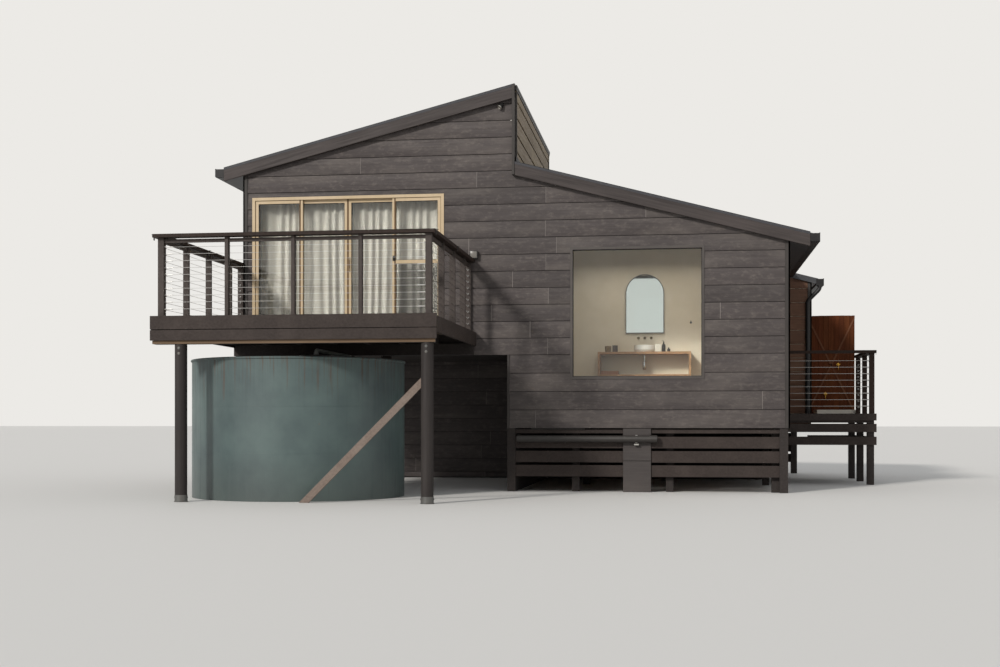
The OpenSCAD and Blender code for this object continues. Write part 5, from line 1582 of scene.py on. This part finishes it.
class BEACHHOUSE_OT_balcony_fittings(bpy.types.Operator):
    """Adds brackets under the handrails, shoes and bolts on the posts, the bearer's facing and stump caps"""
    bl_idname = "beach_house.balcony_fittings"
    bl_label = "Balcony fittings"

    def execute(self, context):
        brackets = []
        for node in ("balcony_rail_front", "balcony_rail_sides", "side_rail_front", "side_rail_right"):
            for low, high in solids(node):
                # Posts only, as the rails are under half a metre high
                if high.z - low.z < 0.5:
                    continue
                y, z = (low.y + high.y) / 2, high.z
                for x, out in ((low.x, -1), (high.x, 1)):
                    brackets += [
                        block("bracket", (x, y - 0.018, z - 0.075), (x + out * 0.004, y + 0.018, z - 0.002)),
                        block("bracket", (x, y - 0.018, z - 0.004), (x + out * 0.035, y + 0.018, z - 0.001))]
        finish_piece("rail_brackets", brackets, "black_galvanised_bracket", "dark_rails", fit=True)

        parts = []
        for low, high in solids("balcony_posts"):
            x, y, _ = (low + high) / 2
            radius = (high.x - low.x) / 2
            parts.append(turned("shoe", (x, y, 0), [
                (0, 0.001), (radius + 0.012, 0.001), (radius + 0.012, 0.006), (radius + 0.004, 0.008),
                (radius + 0.004, 0.09), (0, 0.09)], 28))
            for side in (-1, 1):
                parts.append(disc("bolt", (x + side * (radius + 0.003), y, 0.055), X * side, 0.010, 0.008, 6))
            for z in (high.z - 0.05, high.z - 0.12):
                parts.append(disc("bolt", (x, y - radius + 0.001, z), -Y, 0.011, 0.009, 6))
                parts.append(disc("washer", (x, y - radius + 0.001, z), -Y, 0.018, 0.003, 16))
        finish_piece("post_shoes", parts, "weathered_galvanised_steel", "dark_posts", smooth=30)

        # Bare timber that shows on the front bearer, under the fascia
        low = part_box("balcony_frame")[0]
        facing = block("facing", (BALCONY_LOW.x + 0.02, low.y - 0.003, low.z + 0.002),
                       (BALCONY_HIGH.x - 0.02, low.y, BALCONY_LOW.z - 0.001))
        finish_piece("bearer_facing", [bevel(facing, 0.001)], "bare_hardwood_bearer", "deck_timber")

        # Steel caps on the stumps, which stand just proud of them
        lip = Vector((0.02, 0.02, 0))
        caps = [block("cap", (*(low - lip).xy, high.z - 0.0016), high + lip)
                for low, high in solids("stumps")
                if high.x - low.x < 0.3 and high.y - low.y < 0.3 and high.z > 0.5]
        finish_piece("stump_caps", caps, "weathered_galvanised_steel", "weathered_timber")
        return {"FINISHED"}


class BEACHHOUSE_OT_tank_and_pipes(bpy.types.Operator):
    """Adds the tank's strainer, inlet and seams, the waste pipe's rings and clip, and the pier's sheets"""
    bl_idname = "beach_house.tank_and_pipes"
    bl_label = "Tank and pipes"

    def execute(self, context):
        low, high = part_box("tank_roof")
        centre = (low + high) / 2
        at = Vector((centre.x + 0.42, centre.y - 0.72, high.z - 0.012))
        strainer = [turned("strainer", at, [
            (0, 0), (0.20, 0), (0.20, 0.018), (0.185, 0.024), (0.18, 0.020), (0.165, 0.022), (0, 0.022)], 32)]
        strainer += [rod("mesh_bar", at + Vector((-0.16, y, 0.024)), at + Vector((0.16, y, 0.024)), 0.0025, 6)
                     for y in (-0.08, -0.04, 0, 0.04, 0.08)]
        finish_piece("tank_strainer", strainer, "black_moulded_plastic", "dark_pipe", smooth=40)
        foot = at + Vector((0.02, 0.02, 0.03))
        inlet = [pipe_run("inlet", [foot, at + Vector((0.02, 0.02, 0.09)), at + Vector((0.02, 1.9, 0.09))],
                          0.028, 0.05),
                 turned("socket", foot, [(0, 0), (0.034, 0), (0.034, 0.03), (0, 0.03)])]
        finish_piece("tank_inlet", inlet, "pale_moulded_pipe", "dark_pipe", smooth=40)
        low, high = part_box("tank_shell")
        radius = (high.x - low.x) / 2
        seams = [ring("seam", (centre.x, centre.y, low.lerp(high, share).z), Z, radius + 0.0005, 0.003,
                      96, 6) for share in (0.335, 0.668)]
        finish_piece("tank_seams", seams, "sea_green_enamelled_steel", "tank_metal", smooth=60)

        low, high = max(solids("waste_pipe"), key=lambda box: box[1].x - box[0].x)
        _, y, z = (low + high) / 2
        radius = (high.z - low.z) / 2
        rings = [ring("ring", (x, y, z), X, radius + 0.004, 0.005, 32, 8)
                 for x in (low.x + 0.02, low.x + 0.72, high.x - 0.1)]
        rings.append(rod("plug", (high.x - 0.012, y, z), (high.x + 0.006, y, z), radius * 0.8, 32))
        finish_piece("waste_pipe_rings", rings, "painted_pipe_fitting", "dark_pipe", smooth=40)
        x = 1.875  # the clip's place along the pipe
        foot = block("clip", (x - 0.035, y - 0.02, z - radius - 0.035),
                     (x + 0.035, y + 0.02, z - radius - 0.012))
        clip = [rod("clip", (x - 0.014, y, z), (x + 0.014, y, z), radius + 0.0025, 32), bevel(foot, 0.003)]
        finish_piece("pipe_clip", clip, "zinc_plated_clip", "dark_pipe", smooth=40)

        # Two sheets with a level joint on the pier
        low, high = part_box("pier_panel")
        joint = 0.462
        skins = [bevel(block("sheet", (low.x, low.y, z0), (high.x, high.y, z1)), 0.003)
                 for z0, z1 in ((low.z, joint - 0.002), (joint + 0.002, high.z))]
        finish_piece("pier_sheets", skins, "dark_stained_pier_sheet", "trim_boards", ["pier_panel"])
        return {"FINISHED"}


class BEACHHOUSE_OT_lamps(bpy.types.Operator):
    """Makes the spot lamp under the roof and the wall light by the balcony"""
    bl_idname = "beach_house.lamps"
    bl_label = "Outside lamps"

    def execute(self, context):
        boxes = sorted(solids("outside_lamps"), key=lambda box: box[0].z)
        (wall_low, wall_high), (spot_low, spot_high) = boxes[0], boxes[-1]
        aim = Vector((-0.45, -0.62, -0.64)).normalized()
        start = (spot_low + spot_high) / 2 - aim * 0.028
        mouth = start + aim * 0.070
        base = Vector((spot_high.x - 0.026, spot_high.y, spot_high.z - 0.028))
        bodies = [
            rod("can", start, mouth, 0.033, 24),
            rod("fin", start - aim * 0.008, start + aim * 0.004, 0.026, 24),
            disc("base", base, -Y, 0.024, 0.014, 24, 0.003),
            rod("arm", base - Y * 0.01, start + aim * 0.01, 0.007, 12),
            bevel(block("case", wall_low + Y * 0.004, wall_high), 0.006, 2),
        ]
        finish_piece("lamp_bodies", bodies, "black_cast_aluminium_lamp", "dark_pipe", ["outside_lamps"], 35)
        rim = ring("rim", mouth, aim, 0.030, 0.005, 24, 8)
        finish_piece("rim", [rim], "bright_lamp_rim", "dark_pipe", ["outside_lamps"], 40)
        lens = disc("lens", start + aim * 0.069, aim, 0.029, 0.002, 24, 0.0008)
        pane = block("pane", (wall_low.x + 0.012, wall_low.y, wall_low.z + 0.012),
                     (wall_high.x - 0.012, wall_low.y + 0.006, wall_high.z - 0.012))
        finish_piece("lamp_glass", [lens, bevel(pane, 0.002, 2)], "frosted_lamp_glass", "window_glass",
                     ["outside_lamps"], 40)
        return {"FINISHED"}


class BEACHHOUSE_OT_shower(bpy.types.Operator):
    """Makes the outdoor shower's boarded screen, its taps and its waste"""
    bl_idname = "beach_house.shower"
    bl_label = "Outdoor shower"

    def execute(self, context):
        rng = random.Random(77)
        low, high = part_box("screen")
        face = low.y + 0.008
        back = face + 0.020
        count = round((high.x - low.x) / settings().screen_board)
        pitch = (high.x - low.x) / count
        boards = []
        for i in range(count):
            x0 = low.x + i * pitch + 0.001
            lift = rng.uniform(0, 0.004)
            board = block("upright_board", (x0, face + rng.uniform(0, 0.002), low.z),
                          (x0 + pitch - 0.002, back, high.z - lift))
            boards.append(bevel(board, 0.002, 1, upright))
            stamp(board, Z, rng)
            # A tongue closes each joint, so that it shows as a dark line
            if i < count - 1:
                tongue = block("tongue", (x0 + pitch - 0.0025, face + 0.009, low.z + 0.001),
                               (x0 + pitch + 0.004, back - 0.004, high.z - 0.006))
                stamp(tongue, Z, random.Random(i))
                boards.append(tongue)
        width = 0.045
        for x in (low.x, high.x - width):
            boards.append(bevel(block("stile", (x, back, low.z), (x + width, high.y, high.z)), 0.002))
            stamp(boards[-1], Z, rng)
        for z in (low.z + 0.18, high.z - 0.18 - width):
            rail = block("rail", (low.x + width, back, z), (high.x - width, high.y, z + width))
            boards.append(bevel(rail, 0.002))
            stamp(rail, X, rng)
        finish_piece("screen_boards", boards, "red_brown_rough_sawn_board", "rust_timber", ["screen"])

        wide = 0.032 * 2.2  # a 32 mm batten, measured upright where it leans
        slope = (high.z - low.z - wide) / (high.x - low.x)
        braces = []
        for z, rise in ((low.z, slope), (high.z - wide, -slope)):
            brace = block("brace", (low.x, low.y, z), (high.x, face - 0.0005, z + wide))
            braces.append(moved(brace, lambda co, rise=rise: co + Z * rise * (co.x - low.x)))
        finish_piece("screen_braces", braces, "sun_bleached_batten", "rust_timber", ["screen"])

        taps = []
        for tap_low, tap_high in solids("shower_taps"):
            x, y, z = (tap_low.x + tap_high.x) / 2, tap_high.y, (tap_low.z + tap_high.z) / 2
            taps += [disc("plate", (x, y, z), -Y, 0.028, 0.008, 24, 0.002),
                     disc("body", (x, y, z), -Y, 0.014, 0.055, 20, 0.002),
                     disc("hub", (x, y - 0.045, z), -Y, 0.018, 0.02, 20, 0.003)]
            centre = Vector((x, y - 0.056, z))
            for turn in range(4):
                arm = Vector((math.cos(turn * math.pi / 2), 0, math.sin(turn * math.pi / 2))) * 0.036
                taps.append(rod("arm", centre, centre + arm, 0.0055, 10))
            out = y - 0.03
            taps.append(pipe_run("spout", [(x, out, z), (x, out, z - 0.07), (x, y - 0.07, z - 0.095)],
                                 0.009, 0.02, 16))
        finish_piece("shower_tap_set", taps, "unlacquered_brass", "brass_fittings", ["shower_taps"], 40, True)

        tray_low, tray_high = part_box("shower_tray")
        at = (tray_low + tray_high) / 2
        at.z = tray_low.z + 0.022
        grate = [disc("waste", at, Z, 0.045, 0.003, 28, 0.001)]
        for y in (-0.02, 0, 0.02):
            grate.append(block("slot", at + Vector((-0.03, y - 0.003, 0.003)),
                               at + Vector((0.03, y + 0.003, 0.0045))))
        finish_piece("shower_waste", grate, "stainless_waste", "steel_wire", smooth=40)
        return {"FINISHED"}


def length(name, description, default):
    """A size on the panel."""
    return bpy.props.FloatProperty(name=name, description=description, default=default, unit="LENGTH")


def colour(name, description, code):
    """A colour on the panel, from an sRGB hex value."""
    return bpy.props.FloatVectorProperty(
        name=name, description=description, default=linear(code), size=4, min=0, max=1, subtype="COLOR")


class BeachHouseSettings(bpy.types.PropertyGroup):
    """Sizes and colours that a user would change"""
    board_cover: length("Board cover", "Height that each upper board shows", 0.252)
    board_thick: length("Lower edge", "Thickness of a board at its lower edge", 0.021)
    board_thin: length("Upper edge", "Thickness of a board at its upper edge", 0.009)
    board_groove: length("Groove", "Gap under each board's lower edge", 0.007)
    board_length: length("Board length", "Longest board", 4.2)
    strip_width: length("Joint strip", "Width of the strip over a butt joint", 0.008)
    sheet_edge: length("Roof edge", "Height of the ribbed roof edge over the boards", 0.06)
    trim_width: length("Trim", "Width of the corner trims", 0.045)
    sheet_pitch: length("Sheet pitch", "Distance between two crests of the roof sheets", 0.076)
    sheet_depth: length("Sheet depth", "Height of the roof sheets' crests", 0.016)
    deck_board: length("Deck board", "Width of a deck board", 0.090)
    deck_gap: length("Deck gap", "Gap between two deck boards", 0.005)
    curtain_fold: length("Curtain fold", "Width of one fold of a curtain", 0.15)
    screen_board: length("Screen board", "Width of the shower screen's boards", 0.09)
    board_colour: colour("Boards", "Colour of the main house's stained boards", "#443d3c")
    wing_colour: colour("Wing boards", "Colour of the rear wing's boards", "#674530")
    step_colour: colour("Step boards", "Colour of the boards between the two roofs", "#81705a")
    roof_colour: colour("Roof", "Colour of the roof sheets and caps", "#35353a")
    frame_colour: colour("Frames", "Colour of the door's and the plain windows' frames", "#c8b291")
    rail_colour: colour("Handrails", "Colour of the side deck's handrails", "#2b1b13")
    deck_colour: colour("Decks", "Colour of the deck boards", "#6d5d50")
    screen_colour: colour("Shower screen", "Colour of the shower screen's boards", "#572a10")
    tank_colour: colour("Tank", "Colour of the tank's clean enamel", "#556563")
    wall_colour: colour("Inner walls", "Colour of the paint on the inner walls", "#dbcfbb")


class BEACHHOUSE_PT_looks(bpy.types.Panel):
    """Lists the sizes, the colours and the steps that make the house's looks"""
    bl_label = "Beach House"
    bl_space_type = "VIEW_3D"
    bl_region_type = "UI"
    bl_category = "Beach House"

    def draw(self, context):
        for name in settings().bl_rna.properties.keys():
            if name not in ("rna_type", "name"):
                self.layout.prop(settings(), name)
        for step in STEPS:
            self.layout.operator(step.bl_idname)


STEPS = (
    BEACHHOUSE_OT_stage, BEACHHOUSE_OT_frame_finishes, BEACHHOUSE_OT_weatherboards, BEACHHOUSE_OT_trims,
    BEACHHOUSE_OT_roofing, BEACHHOUSE_OT_rainwater, BEACHHOUSE_OT_decking, BEACHHOUSE_OT_curtains,
    BEACHHOUSE_OT_openings, BEACHHOUSE_OT_bathroom, BEACHHOUSE_OT_balcony_fittings,
    BEACHHOUSE_OT_tank_and_pipes, BEACHHOUSE_OT_lamps, BEACHHOUSE_OT_shower,
)
CLASSES = (BeachHouseSettings, *STEPS, BEACHHOUSE_PT_looks)


def register():
    """Registers the classes and the settings."""
    for item in CLASSES:
        bpy.utils.register_class(item)
    bpy.types.Scene.beach_house = bpy.props.PointerProperty(type=BeachHouseSettings)


def unregister():
    """Takes the classes and the settings away again."""
    del bpy.types.Scene.beach_house
    for item in reversed(CLASSES):
        bpy.utils.unregister_class(item)


def main():
    """Makes every piece in order."""
    register()
    for step in STEPS:
        group, name = step.bl_idname.split(".")
        getattr(getattr(bpy.ops, group), name)()
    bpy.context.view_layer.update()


if __name__ == "__main__":
    main()
